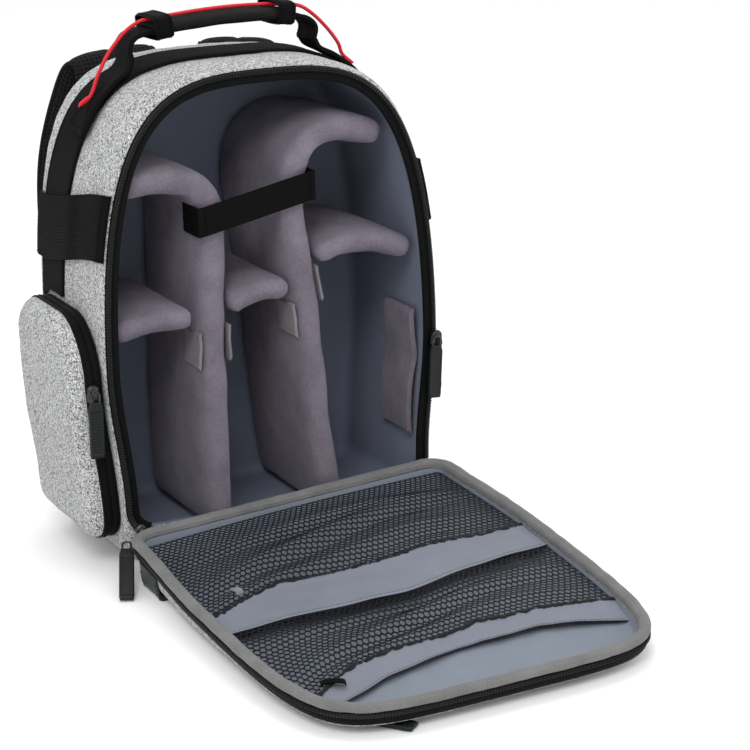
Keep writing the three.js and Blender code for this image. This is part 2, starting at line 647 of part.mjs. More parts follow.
const minusY = V3(0, -1, 0);
const up = V3(0, 0, 1);
const frontOfCoil = coilY - coilHeight - fit;
{
  const at = placeAtHeight(frontY, 130);
  const p = pointAt(inset(mouth, 2.6), at);
  add('main_slider_right', slider(V3(p.x, frontOfCoil, p.y), V3(0.04, 0, 1).normalize(), minusY), zipMetal);
  add('main_pull_right', puller(V3(p.x - 2.2, frontOfCoil - sliderHeight - 1.3, p.y + 3), V3(-0.08, -0.03, -1).normalize(), minusY), pullRubber);
}
{
  const p = pointAt(inset(mouth, 2.6), ringSize - 2.3);
  add('main_slider_left', slider(V3(p.x, frontOfCoil, p.y), V3(-0.8, 0, 1).normalize(), minusY), zipMetal);
  add('main_pull_left', puller(V3(p.x - 13, frontOfCoil - sliderHeight + 0.9, p.y - 4), V3(-0.33, -0.78, -0.5).normalize(), up, 42), pullRubber);
}

// Side pocket sliders and pulls, on the front run of each zip band.
for (const [side, pocket] of Object.entries(pockets)) {
  const y = frontY + pocket.front;
  const wall = onWall(placeAtHeight(y, 128), y, 0);
  const x = pocket.hand * (wall.x + pocket.band * 0.72);
  add(`pocket_slider_${side}`, slider(V3(x, y - fit, 128), V3(0, 0, 1), minusY), zipMetal);
  add(`pocket_pull_${side}`, puller(V3(x, y - fit - sliderHeight - 1.3, 130), V3(pocket.hand * 0.04, -0.05, -1).normalize(), minusY), pullRubber);
}

// Padded dividers: walls along a path in XZ that reach from the opening to the back of the lining.
const dividerY = [frontY + dividerFront, insideBack - fit - liningCloth - dividerGap];
function liningFloor(y) {
  return pointAt(inset(ringAt(y), liningIn), 0).y;
}
function liningSide(y, z) {
  const ring = inset(ringAt(y), liningIn + dividerGap);
  for (let i = 2; i < crownPlace; i++) {
    if (ring[i].y <= z && ring[i + 1].y > z) return mix(ring[i].x, ring[i + 1].x, (z - ring[i].y) / (ring[i + 1].y - ring[i].y));
  }
  return 0;
}
const puffAcross = { places: [0, 0.05, 0.95, 1], thick: [0.45, 1, 1, 0.45] };
function divider(points, count, thickness = dividerThickness) {
  const path = curve(points.map(([x, z]) => [x, 0, z]), count);
  return sheet(3, count, (i, j, side) => {
    const k = Math.round(j * count);
    const c = Math.round(i * 3);
    const along = path[Math.min(k + 1, count)].clone().sub(path[Math.max(k - 1, 0)]).normalize();
    const normal = V3(-along.z, 0, along.x);
    const half = (thickness / 2) * puffAcross.thick[c] * (k === 0 || k === count ? 0.6 : 1);
    const p = path[k].clone().addScaledVector(normal, (side - 0.5) * 2 * half);
    p.y = mix(dividerY[0], dividerY[1], puffAcross.places[c]);
    const ground = liningFloor(p.y) + dividerGap;
    if (p.z < 100) p.z = mix(ground, 100, Math.max(0, (p.z - 38) / 62));
    const reach = liningSide(p.y, p.z);
    const edge = liningSide(dividerY[0], p.z);
    if (edge > 0 && Math.abs(p.x) > edge - 12) p.x = Math.sign(p.x) * Math.min(Math.abs(p.x) * (reach / edge), reach);
    return p;
  });
}
const tall = [
  ['divider_tall_left', [[-103, 257], [-82, 261], [-62, 261], [-48, 256], [-40, 244], [-39, 220], [-40, 180], [-41, 140], [-42, 90], [-43, 38]], 16],
  ['divider_tall_right', [[88, 274], [72, 281], [54, 284], [36, 279], [25, 266], [21, 245], [24, 205], [29, 165], [33, 120], [38, 75], [45, 38]], 17],
];
for (const [name, points, count] of tall) add(name, divider(points, count, dividerThickness + 2), fleece);
const short = [
  ['divider_short_left', [[-113, 163], [-95, 166], [-76, 168], [-56, 166]], 5],
  ['divider_short_middle', [[-28.4, 171], [-14, 177], [2, 179], [15.6, 176]], 5],
  ['divider_short_right', [[37, 196], [52, 202], [70, 204], [88, 201], [109, 193]], 6],
];
for (const [name, points, count] of short) add(name, divider(points, count), fleece);

// Hook tabs: small felt sheets at the ends of the dividers, hanging down their neighbours' sides.
function tab(x0, z0, x1, z1, hand) {
  const y = dividerY[0] + 3;
  return sheet(1, 3, (i, j, side) => V3(mix(x0, x1, j) + hand * side * tabCloth, y + i * tabWidth, mix(z0, z1, j)));
}
const tabs = [
    [-50.1, 156, -50.8, 130, -1],
  [-31, 160, -31.6, 134, 1],
  [19.0, 167, 21.7, 142, -1],
  [35.2, 192, 38.6, 166, 1],
];
tabs.forEach((t, k) => add(`hook_tab_${k + 1}`, tab(...t), hookFelt));

// Sheets stuck to a side wall: the left divider's hook tab and a spare flap of fleece.
function wallSheet(hand, z0, z1, y0, y1, thickness, wave) {
  return sheet(2, 4, (i, j, side) => {
    const y = mix(y0, y1, i);
    const z = mix(z0, z1, j);
    return V3(hand * (liningSide(y, z) + dividerGap - 0.9 - side * thickness - wave * Math.abs(Math.sin(j * 5))), y, z);
  });
}
add('wall_tab', wallSheet(-1, 218, 245, dividerY[0] + 3, dividerY[0] + 3 + tabWidth, tabCloth, 0), hookFelt);
add('wall_flap', wallSheet(1, 58, 150, dividerY[0] + 3, dividerY[0] + 46, 3.5, 3), fleece);

// Hold-down strap across the camera bay, round the two tall dividers.
const strapFrontY = dividerY[0] - fit - holdStrapCloth / 2;
add('hold_strap', sheet(2, 12, (i, j, side) => {
  const path = [[-50.2, 26], [-50.6, 6], [-50.4, -0.2], [-47, -1], [-30, -1], [-15, -1.2], [0, -1.2], [12, -1], [29, -0.9], [34.4, -0.1], [35.2, 6], [35.2, 16], [35, 26]];
  const k = Math.round(j * 12);
  const [x, y] = path[k];
  const [a, b] = [path[Math.max(k - 1, 0)], path[Math.min(k + 1, 12)]];
  const along = V2(b[0] - a[0], b[1] - a[1]).normalize();
  const normal = V2(along.y, -along.x);
  const t = (side - 0.5) * holdStrapCloth;
  return V3(x + normal.x * t, strapFrontY + y + normal.y * t, mix(232, 248, clamp01((x + 50) / 81)) + (i - 0.5) * holdStrapWidth);
}), blackWeb);

// Lid: its outline lies in X and V, V running from the hinge towards -Y.
const lidOutline = (() => {
  const half = halfOutline({
    foot: lidHingeWidth / 2, wide: lidWidth / 2, floor: 0, widest: lidWidest, crown: lidLength, corner: lidCorner, square: 0.96, steep: 1.04,
  });
  return [...half, ...half.slice(1, -1).reverse().map((p) => V2(-p.x, p.y))];
})();
const rimAt = (v, x) => mix(mix(...lidRimNear, clamp01(x / lidWidth + 0.5)), lidRimFar, smooth(v / lidLength) * 0.4 + (v / lidLength) * 0.6);
const trayAt = (v, x) => rimAt(v, x) - mix(lidTrayNear, lidTrayFar, v / lidLength);
const bandFoot = (v, x) => Math.max(rimAt(v, x) - bindingHeight - lidBandDepth, lidUnder + 0.6);
const lidPoint = (p, z) => V3(p.x, frontY - lidGap - p.y, z);
// A ring of the lid: its outline pulled in by a margin, then drawn to the lid's middle.
const lidMiddle = V2(0, lidLength / 2);
const lidRing = (margin, height, draw = 0) => inset(lidOutline, margin).map((q) => {
  const p = q.lerp(lidMiddle, draw);
  return lidPoint(p, height(clamp01(p.y / lidLength) * lidLength, p.x));
});
const underBinding = (v, x) => rimAt(v, x) - bindingHeight - fit;
add('lid_shell', loft([
  lidRing(13, () => lidUnder, 0.5), lidRing(13, () => lidUnder), lidRing(9, () => lidUnder + 0.2), lidRing(6.2, (v, x) => bandFoot(v, x) - 0.2),
  lidRing(3.8, underBinding), lidRing(8.2, underBinding), lidRing(9.2, (v, x) => trayAt(v, x) - lidLiningCloth - fit), lidRing(9.8, (v, x) => trayAt(v, x) - lidLiningCloth - fit, 0.5),
]), heather);
add('lid_lining', loft([
  lidRing(9.8, (v, x) => trayAt(v, x) - lidLiningCloth, 0.5), lidRing(9.8, (v, x) => trayAt(v, x) - lidLiningCloth), lidRing(8.6, underBinding),
  lidRing(9.8, underBinding), lidRing(11, trayAt), lidRing(11, trayAt, 0.5),
]), liningBlue);
add('lid_binding', torus([
  lidRing(2, (v, x) => rimAt(v, x) - bindingHeight), lidRing(0.3, (v, x) => rimAt(v, x) - bindingHeight * 0.5), lidRing(2, rimAt),
  lidRing(bindingWidth - 1.5, rimAt), lidRing(bindingWidth, (v, x) => rimAt(v, x) - bindingHeight),
]), greyVelour);

// The zip's other half, on the lid's side below the binding, and its coil.
const lidZipEnd = cornerEnd - 1;
const lidSideBand = (rows, count) => sheet(rows.length - 1, count, (i, j, side) => {
  const [margin, height, thickness] = rows[Math.round(i * (rows.length - 1))];
  const p = pointAt(inset(lidOutline, margin - (side ? thickness : 0)), mix(lidZipEnd, ringSize - lidZipEnd, j));
  return lidPoint(p, height(p.y, p.x));
});
add('lid_zip_tape', lidSideBand([[3.5, underBinding, 1.3], [5.9, bandFoot, 1.3]], ringSize - 2 * lidZipEnd), blackCloth);
add('lid_zip_coil', lidSideBand([[1.9, (v, x) => mix(underBinding(v, x), bandFoot(v, x), 0.04), 1.6], [2.7, (v, x) => mix(underBinding(v, x), bandFoot(v, x), 0.4), 1.6]], ringSize - 2 * lidZipEnd), blackWeb);

// Half the lid's width at a distance from the hinge, inside a margin.
function lidHalf(v, margin) {
  const ring = inset(lidOutline, margin);
  for (let i = 2; i < crownPlace; i++) {
    if (ring[i].y <= v && ring[i + 1].y > v) return mix(ring[i].x, ring[i + 1].x, (v - ring[i].y) / (ring[i + 1].y - ring[i].y));
  }
  return 0;
}
const lidAt = (x, v, z) => V3(x, frontY - lidGap - v, z);

// Leathercloth base of the lid: up one side, under, and up the other.
add('lid_leather', sheet(8, 3, (i, j, side) => {
  const v = mix(lidCorner - 4, leatherLength, j);
  const under = fit + (side ? 0 : lidUnder - 2 * fit);
    const half = (m) => lidHalf(v, m);
  const grow = side ? 2.2 : 0.9;
  const [lowLeft, lowRight] = [-1, 1].map((hand) => bandFoot(v, hand * half(6)) - 1);
  const profile = [
    [-half(6.2) - grow, lowLeft], [-half(7.2) - grow - 0.2, mix(lowLeft, lidUnder, 0.6)], [-half(side ? 7.4 : 8.4), side ? 0.4 : lidUnder - 0.5], [-half(14), under],
    [0, under], [half(14), under], [half(side ? 7.4 : 8.4), side ? 0.4 : lidUnder - 0.5], [half(7.2) + grow + 0.2, mix(lowRight, lidUnder, 0.6)], [half(6.2) + grow, lowRight],
  ];
  const [x, z] = profile[Math.round(i * 8)];
  return lidAt(x, v, z);
}), leather);

// Outer pocket beneath the lid, its zip band, and the short zip near the top.
const pocketHeight = lidUnder - fit;
const outerHalf = outerPocketWidth / 2;
function underPath(grow) {
  const radius = 58 + grow;
  const points = [V2(outerHalf + grow, outerPocketEnds[0])];
  for (let k = 0; k <= 6; k++) {
    const turn = (k * 15 * Math.PI) / 180;
    points.push(V2(outerHalf - 58 + radius * Math.cos(turn), outerPocketEnds[1] - 58 + radius * Math.sin(turn)));
  }
  return [...points, ...points.slice().reverse().map((p) => V2(-p.x, p.y))];
}
const pocketPath = underPath(0);
add('lid_pocket', loft([0, 0.4, pocketHeight - 0.3, pocketHeight].map((z, k) => underPath(k === 0 ? -2 : 0).map((p) => lidAt(p.x, p.y, z)))), heather);
const [bandIn, bandOut] = [underPath(fit), underPath(outerPocketBand)];
add('lid_pocket_zip', sheet(1, pocketPath.length - 1, (i, j, side) => {
  const p = (i ? bandOut : bandIn)[Math.round(j * (pocketPath.length - 1))];
  return lidAt(p.x, p.y, side ? pocketHeight : 0.8);
}), blackCloth);
add('lid_top_zip', sheet(1, 2, (i, j, side) => lidAt(mix(-topZipLength / 2, topZipLength / 2, j), topZipPlace + (i - 0.5) * topZipBand, side ? pocketHeight : 0.8)), blackCloth);
add('lid_top_pull', puller(lidAt(-82, topZipPlace + 7.4, 2), V3(0.62, -0.78, 0).normalize(), up, 26), pullRubber);
add('lid_pocket_pull', puller(lidAt(outerHalf + outerPocketBand + 7, 110, 2), V3(0.1, 0.99, 0).normalize(), up, 30), pullRubber);

// Hinge: a strip of cloth from the body's sill to the lid.
add('hinge_strip', sheet(1, 3, (i, j, side) => {
  const y = mix(frontY - fit, frontY - lidGap + 0.4, j);
  return V3((i - 0.5) * 180, y + (j === 1 ? -3.2 : 0), mix(sillHeight + 3, 26, j) + Math.sin(j * Math.PI) * -3 + side * 1.5);
}), blackCloth);

// Mesh pockets: each a slack net with a satin hem along its mouth. Rows give V at even steps from left to right.
function alongRow(values, u) {
  const place = u * (values.length - 1);
  const k = Math.min(Math.floor(place), values.length - 2);
  return mix(values[k], values[k + 1], place - k);
}
const hems = [
  { start: [138, 119, 121, 116, 118], end: [163, 162, 166, 154, 149] },
  { start: [262, 232, 227, 221.5, 233], end: [274, 252, 241, 238, 256] },
];
const netHeight = (u, t, v, x, depth) => rimAt(v, x) - 7.2 + depth * Math.sin(u * Math.PI) * Math.sin(mix(0.12, 0.9, t) * Math.PI);
function netSheet(starts, ends, thickness, depth, drop, rows, columns) {
  return sheet(columns, rows, (i, j, side) => {
    const v = mix(alongRow(starts, i), alongRow(ends, i), j);
    const half = lidHalf(v, 10.5);
    const x = mix(-half, half, i);
    return lidAt(x, v, netHeight(i, j, v, x, depth) - drop(j) + side * thickness);
  });
}
add('net_1', netSheet([17, 16, 15, 14.5, 14], hems[0].start.map((v) => v - 0.4), netCloth, 5, () => 0, 6, 8), blackNet);
add('hem_1', netSheet(hems[0].start, hems[0].end, hemCloth, 1.5, (t) => -0.6 * t, 2, 8), liningBlue);
add('net_2', netSheet(hems[0].end.map((v) => v + 0.4), hems[1].start.map((v) => v - 0.4), netCloth, 3.5, () => 0, 5, 8), blackNet);
add('hem_2', netSheet(hems[1].start, hems[1].end, hemCloth, 1, (t) => 1.6 * t, 2, 8), liningBlue);

export default bag;
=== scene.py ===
# %% [markdown]
# # An open camera backpack
# A padded bag stands with its front panel unzipped and laid on the ground. Every part of it is sewn cloth, so this
# lesson is mostly about cloth: walls with a soft edge, straps, zips, nets and pads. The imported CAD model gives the
# frame, and each smooth piece here stands for one CAD node and stays in the space that the node holds.

# %% Load the frame
import json
import math

import bmesh
import bpy
import numpy as np
from mathutils import Matrix, Vector

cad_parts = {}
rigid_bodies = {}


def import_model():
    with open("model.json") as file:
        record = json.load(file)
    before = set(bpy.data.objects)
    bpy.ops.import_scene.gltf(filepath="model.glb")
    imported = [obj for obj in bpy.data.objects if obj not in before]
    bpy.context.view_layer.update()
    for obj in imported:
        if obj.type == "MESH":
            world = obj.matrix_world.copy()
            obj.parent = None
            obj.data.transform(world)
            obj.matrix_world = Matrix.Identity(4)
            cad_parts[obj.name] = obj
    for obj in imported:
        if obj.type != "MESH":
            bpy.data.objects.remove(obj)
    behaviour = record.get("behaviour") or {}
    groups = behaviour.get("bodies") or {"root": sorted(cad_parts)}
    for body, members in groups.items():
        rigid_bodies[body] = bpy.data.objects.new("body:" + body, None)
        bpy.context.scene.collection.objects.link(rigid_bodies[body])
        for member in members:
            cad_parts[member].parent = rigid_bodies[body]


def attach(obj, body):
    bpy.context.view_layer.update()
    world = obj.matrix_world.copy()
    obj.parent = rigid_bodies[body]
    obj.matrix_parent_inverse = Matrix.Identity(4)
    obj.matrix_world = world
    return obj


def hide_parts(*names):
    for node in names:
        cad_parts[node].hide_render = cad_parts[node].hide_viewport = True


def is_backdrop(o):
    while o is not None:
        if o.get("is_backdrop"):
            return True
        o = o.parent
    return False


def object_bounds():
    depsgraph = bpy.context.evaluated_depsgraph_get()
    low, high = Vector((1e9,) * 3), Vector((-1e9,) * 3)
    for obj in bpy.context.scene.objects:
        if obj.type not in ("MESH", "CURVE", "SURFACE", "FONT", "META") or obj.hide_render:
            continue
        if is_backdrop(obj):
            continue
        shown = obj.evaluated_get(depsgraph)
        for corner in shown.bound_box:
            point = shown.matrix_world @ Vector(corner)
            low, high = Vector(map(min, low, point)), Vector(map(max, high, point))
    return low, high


for old in list(bpy.data.objects):
    bpy.data.objects.remove(old)
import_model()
bpy.context.view_layer.update()

# %% [markdown]
# The camera stands to the left of the bag and a little above it. Its place was fitted to the photograph from the
# opening, the panel and the points on the ground. The axes are written out as three directions, because a roll of a
# degree and a half is easier to keep exact that way than with a tracking constraint.

# %% The camera
turn, rise, roll = math.radians(-27.2), math.radians(16.4), math.radians(-1.4)
behind = Vector((math.sin(turn) * math.cos(rise), -math.cos(turn) * math.cos(rise), math.sin(rise)))
level = Vector((math.cos(turn), math.sin(turn), 0))
upward = behind.cross(level)
across = math.cos(roll) * level + math.sin(roll) * upward
upright = -math.sin(roll) * level + math.cos(roll) * upward

camera = bpy.data.objects.new("camera", bpy.data.cameras.new("camera"))
bpy.context.scene.collection.objects.link(camera)
sensor_wide, picture_wide, focal_pixels = 36, 750, 2120.2
camera.data.sensor_width = sensor_wide
camera.data.lens = focal_pixels * sensor_wide / picture_wide
camera.data.shift_x, camera.data.shift_y = -1.3 / picture_wide, 0.1 / picture_wide
camera.matrix_world = Matrix([
    (across.x, upright.x, behind.x, -0.5731),
    (across.y, upright.y, behind.y, -1.3257),
    (across.z, upright.z, behind.z, 0.5270),
    (0, 0, 0, 1),
])
bpy.context.scene.camera = camera

# %% [markdown]
# A product photograph like this one has a white sweep and large lamps. A big plane takes the soft contact shadow. The
# sky is nearly white and gives most of the light, and two area lamps add a direction, so that the folds and the
# weave show.

# %% Floor and light
def lamp(name, place, aim, size, power):
    """An area lamp that looks at a point. Places are in metres."""
    light = bpy.data.lights.new(name, "AREA")
    light.shape, light.size, light.energy = "DISK", size, power
    holder = bpy.data.objects.new(name, light)
    bpy.context.scene.collection.objects.link(holder)
    holder.location = place
    holder.rotation_mode = "QUATERNION"
    holder.rotation_quaternion = (Vector(aim) - Vector(place)).to_track_quat("-Z", "Y")
    return holder

lamp("key_lamp", (-1.0, -1.5, 1.7), (0, -0.1, 0.15), 0.9, 18)
lamp("fill_lamp", (1.6, -1.2, 1.1), (0, -0.1, 0.15), 1.2, 5)
lamp("top_lamp", (0.1, 0.2, 1.9), (0, -0.05, 0.1), 1.0, 8)

sky = bpy.data.worlds.new("sky")
sky.use_nodes = True
sky.node_tree.nodes["Background"].inputs["Color"].default_value = (1, 1, 1, 1)
sky.node_tree.nodes["Background"].inputs["Strength"].default_value = 1.04
bpy.context.scene.world = sky
bpy.context.scene.view_settings.view_transform = "Standard"

floor_mesh = bpy.data.meshes.new("floor")
floor_mesh.from_pydata([(-9, -9, 0), (9, -9, 0), (9, 9, 0), (-9, 9, 0)], [], [(0, 1, 2, 3)])
floor = bpy.data.objects.new("floor", floor_mesh)
bpy.context.scene.collection.objects.link(floor)
floor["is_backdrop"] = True

# %% [markdown]
# Finishes are built from nodes. A small wrapper keeps that readable: each method adds one node, joins its inputs and
# returns its output, so a weave can be written down like a sum.

# %% A wrapper for shader nodes
class Nodes:
    def __init__(self, tree):
        self.tree = tree

    def add(self, kind, inputs=(), **settings):
        node = self.tree.nodes.new(kind)
        for name, value in settings.items():
            setattr(node, name, value)
        for slot, value in dict(inputs).items():
            self.join(value, node.inputs[slot])
        return node

    def join(self, value, socket):
        if isinstance(value, bpy.types.NodeSocket):
            self.tree.links.new(value, socket)
        else:
            socket.default_value = value

    def math(self, operation, a, b=0.0):
        return self.add("ShaderNodeMath", {0: a, 1: b}, operation=operation).outputs[0]

    def plus(self, a, b):
        return self.math("ADD", a, b)

    def minus(self, a, b):
        return self.math("SUBTRACT", a, b)

    def times(self, a, b):
        return self.math("MULTIPLY", a, b)

    def divide(self, a, b):
        return self.math("DIVIDE", a, b)

    def tint(self, level, colour):
        """A colour whose three channels all follow one level."""
        return self.merge(*[self.times(level, channel) for channel in colour])

    def split(self, vector):
        node = self.add("ShaderNodeSeparateXYZ", {0: vector})
        return node.outputs[0], node.outputs[1], node.outputs[2]

    def merge(self, x, y, z=0.0):
        return self.add("ShaderNodeCombineXYZ", {0: x, 1: y, 2: z}).outputs[0]

    def noise(self, vector, scale, detail=2.0, roughness=0.5):
        inputs = {"Vector": vector, "Scale": scale, "Detail": detail, "Roughness": roughness}
        return self.add("ShaderNodeTexNoise", inputs).outputs[0]

    def spread(self, value, low, high, to_low=0.0, to_high=1.0):
        return self.add("ShaderNodeMapRange", {0: value, 1: low, 2: high, 3: to_low, 4: to_high}).outputs[0]

    def colour(self, share, a, b, blend="MIX"):
        node = self.add("ShaderNodeMix", data_type="RGBA", blend_type=blend)
        for socket, value in zip([node.inputs[0], node.inputs[6], node.inputs[7]], [share, a, b]):
            self.join(value, socket)
        return node.outputs[2]

def group(name, sockets, outputs):
    """A new node group, its wrapper, its group inputs by name, and a function that joins its outputs."""
    tree = bpy.data.node_groups.new(name, "ShaderNodeTree")
    for socket, default in sockets.items():
        kind = "NodeSocketVector" if default is None else "NodeSocketFloat"
        made = tree.interface.new_socket(socket, in_out="INPUT", socket_type=kind)
        if default is not None:
            made.default_value = default
    for socket in outputs:
        tree.interface.new_socket(socket, in_out="OUTPUT", socket_type="NodeSocketFloat")
    start, end = tree.nodes.new("NodeGroupInput"), tree.nodes.new("NodeGroupOutput")
    nodes = Nodes(tree)

    def give(**made):
        for socket, value in made.items():
            nodes.join(value, end.inputs[socket])

    return tree, nodes, start.outputs, give

# %% [markdown]
# Woven cloth is two sets of threads that pass over and under each other. The group takes a place on the cloth in
# metres and the thread's pitch. Each thread is half a sine wide, and a second sine sinks it where the other set passes
# over. It also gives every crossing its own random number, because a melange yarn changes its shade from crossing to
# crossing.

# %% The weave
weave, n, given, give = group("weave", {"Cloth": None, "Pitch": 0.0008, "Stretch": 1.0},
    ["Height", "Crossing", "Streak"])
u, v, _ = n.split(given["Cloth"])
wobble = n.times(n.noise(given["Cloth"], 260.0, 1.0), 0.5)
a = n.plus(n.divide(u, given["Pitch"]), wobble)
b = n.plus(n.divide(v, n.times(given["Pitch"], given["Stretch"])), wobble)
column, row = n.math("FLOOR", a), n.math("FLOOR", b)

def thread(across_it, along_it, index, phase):
    """How high one set of threads stands: round across each thread, and under the other set every second crossing."""
    round_it = n.math("ABSOLUTE", n.math("SINE", n.times(across_it, math.pi)))
    over = n.math("COSINE", n.times(n.plus(n.plus(along_it, index), phase), math.pi))
    return n.times(round_it, n.spread(over, -1.0, 1.0, 0.15, 1.0))

warp, weft = thread(a, b, column, 0.0), thread(b, a, row, 1.0)
crossing = n.add("ShaderNodeTexWhiteNoise", {"Vector": n.merge(column, row)}, noise_dimensions="2D").outputs[0]
streak = n.noise(n.merge(n.times(u, 260.0), n.times(v, 1500.0)), 1.0, 2.0, 0.6)
give(Height=n.math("MAXIMUM", warp, weft), Crossing=crossing, Streak=streak)

# %% [markdown]
# Webbing and zip tape are thicker and ribbed. Brushed fleece, felt and velour have no threads to see, only a pile
# that leans this way and that; its group paints shade, lighter on raised tufts and in patches of the pile's lean.
# Leathercloth has a pressed grain of small cells. Each is a group of its own, and a last group makes a slow change of
# shade on every cloth: the wear that handling and dust leave, and on the thin linings a painted shade.

# %% Ribs, pile, grain, and wear and painted shade
ribs, n, given, give = group("ribs", {"Cloth": None, "Pitch": 0.002, "Bars": 0.0009}, ["Height"])
u, v, _ = n.split(given["Cloth"])
rib = n.math("ABSOLUTE", n.math("SINE", n.times(n.divide(u, given["Pitch"]), math.pi)))
every_second = n.times(n.math("FLOOR", n.divide(u, given["Pitch"])), 0.5)
bar = n.math("ABSOLUTE", n.math("SINE", n.times(n.plus(n.divide(v, given["Bars"]), every_second), math.pi)))
give(Height=n.times(n.math("POWER", rib, 0.6), n.spread(bar, 0.0, 1.0, 0.72, 1.0)))

pile, n, given, give = group("pile", {"Place": None, "Size": 1.0}, ["Height", "Shade"])
fine = n.noise(given["Place"], n.times(given["Size"], 2600.0), 2.0, 0.7)
tuft = n.noise(given["Place"], n.times(given["Size"], 620.0), 3.0, 0.65)
lean = n.noise(given["Place"], 42.0, 3.0, 0.55)
# Painted shade and sheen: lighter on the raised tufts, and lighter and darker in patches where the pile leans.
give(Height=n.plus(n.times(fine, 0.6), tuft),
     Shade=n.plus(n.times(n.minus(tuft, 0.5), 0.9), n.times(n.minus(lean, 0.5), 1.1)))

grain, n, given, give = group("grain", {"Place": None, "Cell": 0.0011}, ["Height"])
cells = n.add("ShaderNodeTexVoronoi", {"Vector": given["Place"], "Scale": n.divide(1.0, given["Cell"])},
    feature="DISTANCE_TO_EDGE").outputs[0]
give(Height=n.plus(n.spread(cells, 0.0, 0.22), n.times(n.noise(given["Place"], 240.0, 2.0), 0.5)))

# Wear from handling and dust on most cloths, and a painted shade on the thin linings.
wear_and_painted_shade, n, given, give = group("wear_and_painted_shade", {"Place": None, "Amount": 1.0}, ["Shade"])
broad = n.minus(n.noise(given["Place"], 9.0, 3.0, 0.55), 0.5)
small = n.minus(n.noise(given["Place"], 70.0, 4.0, 0.6), 0.5)
give(Shade=n.times(n.plus(broad, n.times(small, 0.5)), given["Amount"]))

# %% [markdown]
# A finish is a Principled shader with its colour, roughness and bump fed by those groups. The sheen of a brushed cloth
# and the coat of a leathercloth are set on the shader itself. The helper starts a material and hands back its wrapper,
# the cloth's own place from its unwrapping, and its place in space.

# %% Starting a finish
def finish(name, **shader):
    material = bpy.data.materials.new(name)
    material.use_nodes = True
    nodes = Nodes(material.node_tree)
    principled = material.node_tree.nodes["Principled BSDF"]
    for socket, value in shader.items():
        principled.inputs[socket.replace("_", " ")].default_value = value
    cloth = nodes.add("ShaderNodeUVMap", uv_map="cloth").outputs[0]
    place = nodes.add("ShaderNodeTexCoord").outputs["Object"]
    return material, nodes, principled, cloth, place

def use(nodes, tree, **inputs):
    node = nodes.add("ShaderNodeGroup", node_tree=tree)
    for socket, value in inputs.items():
        nodes.join(value, node.inputs[socket.replace("_", " ")])
    return node.outputs

def dress(nodes, principled, colour=None, roughness=None, height=None, depth=0.0002, strength=0.5):
    """Joins a colour, a roughness and a bump of that depth in metres to the shader."""
    if colour is not None:
        nodes.join(colour, principled.inputs["Base Color"])
    if roughness is not None:
        nodes.join(roughness, principled.inputs["Roughness"])
    if height is not None:
        bump = nodes.add("ShaderNodeBump", {"Height": height, "Distance": depth, "Strength": strength})
        nodes.join(bump.outputs[0], principled.inputs["Normal"])

def wear_and_painted_shade_level(nodes, place, amount):
    """One, give or take a slow change of shade: wear from handling, and on the thin linings a painted shade."""
    return nodes.plus(1.0, use(nodes, wear_and_painted_shade, Place=place, Amount=amount)["Shade"])

def grey(value, warm=0.0):
    return (value * (1 + warm), value, value * (1 - warm), 1)

# %% [markdown]
# The outer cloth is a light grey melange: most crossings are pale, some are a middle grey and about one in six is
# nearly black. Seen from a metre away it reads as pale grey with fine flecks. The colour follows the crossing's random
# number, with the streak added so that the flecks run a little way along their yarn.

# %% Heather cloth
heather, n, shader, cloth, place = finish("heather_cloth", Sheen_Weight=0.06, Sheen_Roughness=0.5,
    Specular_IOR_Level=0.15)
woven = use(n, weave, Cloth=cloth, Pitch=0.0006, Stretch=1.7)
mixed = n.plus(n.times(woven["Crossing"], 0.55), n.times(n.spread(woven["Streak"], 0.3, 0.7), 0.45))
shade = n.add("ShaderNodeValToRGB", {0: mixed})
shade.color_ramp.elements[0].position, shade.color_ramp.elements[0].color = 0.14, grey(0.045, -0.01)
shade.color_ramp.elements[1].position, shade.color_ramp.elements[1].color = 0.85, grey(0.64, -0.008)
for position, value in [(0.27, 0.12), (0.38, 0.27), (0.58, 0.41)]:
    shade.color_ramp.elements.new(position).color = grey(value, -0.012)
level_shade = wear_and_painted_shade_level(n, place, 0.16)
dress(n, shader, n.colour(1.0, shade.outputs[0], n.tint(level_shade, (1, 1, 1)), "MULTIPLY"),
      n.spread(woven["Height"], 0.0, 1.0, 0.98, 0.8), woven["Height"], 0.0003, 0.6)

# %% [markdown]
# The black cloths differ in their texture more than in their colour. The stripe is a fine plain weave, the straps
# have ribs along their length, the zip tape is smooth, and the back has an open spacer mesh.

# %% Black cloths
def dark_cloth(name, value, pitch, stretch=1.0, sheen=0.008, rough=(0.9, 0.7), depth=0.0002, tint=(0.98, 1.0, 1.02)):
    material, n, shader, cloth, place = finish(name, Sheen_Weight=sheen, Sheen_Roughness=0.4, Specular_IOR_Level=0.045)
    woven = use(n, weave, Cloth=cloth, Pitch=pitch, Stretch=stretch)
    worn_and_painted_shade = wear_and_painted_shade_level(n, place, 0.5)
    level = n.times(n.plus(worn_and_painted_shade, n.times(n.minus(woven["Crossing"], 0.5), 0.35)), value)
    colour = n.tint(level, tint)
    dress(n, shader, colour, n.spread(woven["Height"], 0.0, 1.0, *rough), woven["Height"], depth, 0.6)
    return material

stripe_cloth = dark_cloth("stripe_cloth", 0.0044, 0.0006)
tape_cloth = dark_cloth("zip_tape_cloth", 0.0048, 0.0005, 2.0, sheen=0.01, rough=(0.62, 0.45), depth=0.0001)

webbing, n, shader, cloth, place = finish("webbing", Sheen_Weight=0.0, Specular_IOR_Level=0.04)
ribbed = use(n, ribs, Cloth=cloth, Pitch=0.0016, Bars=0.0011)["Height"]
worn_and_painted_shade = wear_and_painted_shade_level(n, place, 0.5)
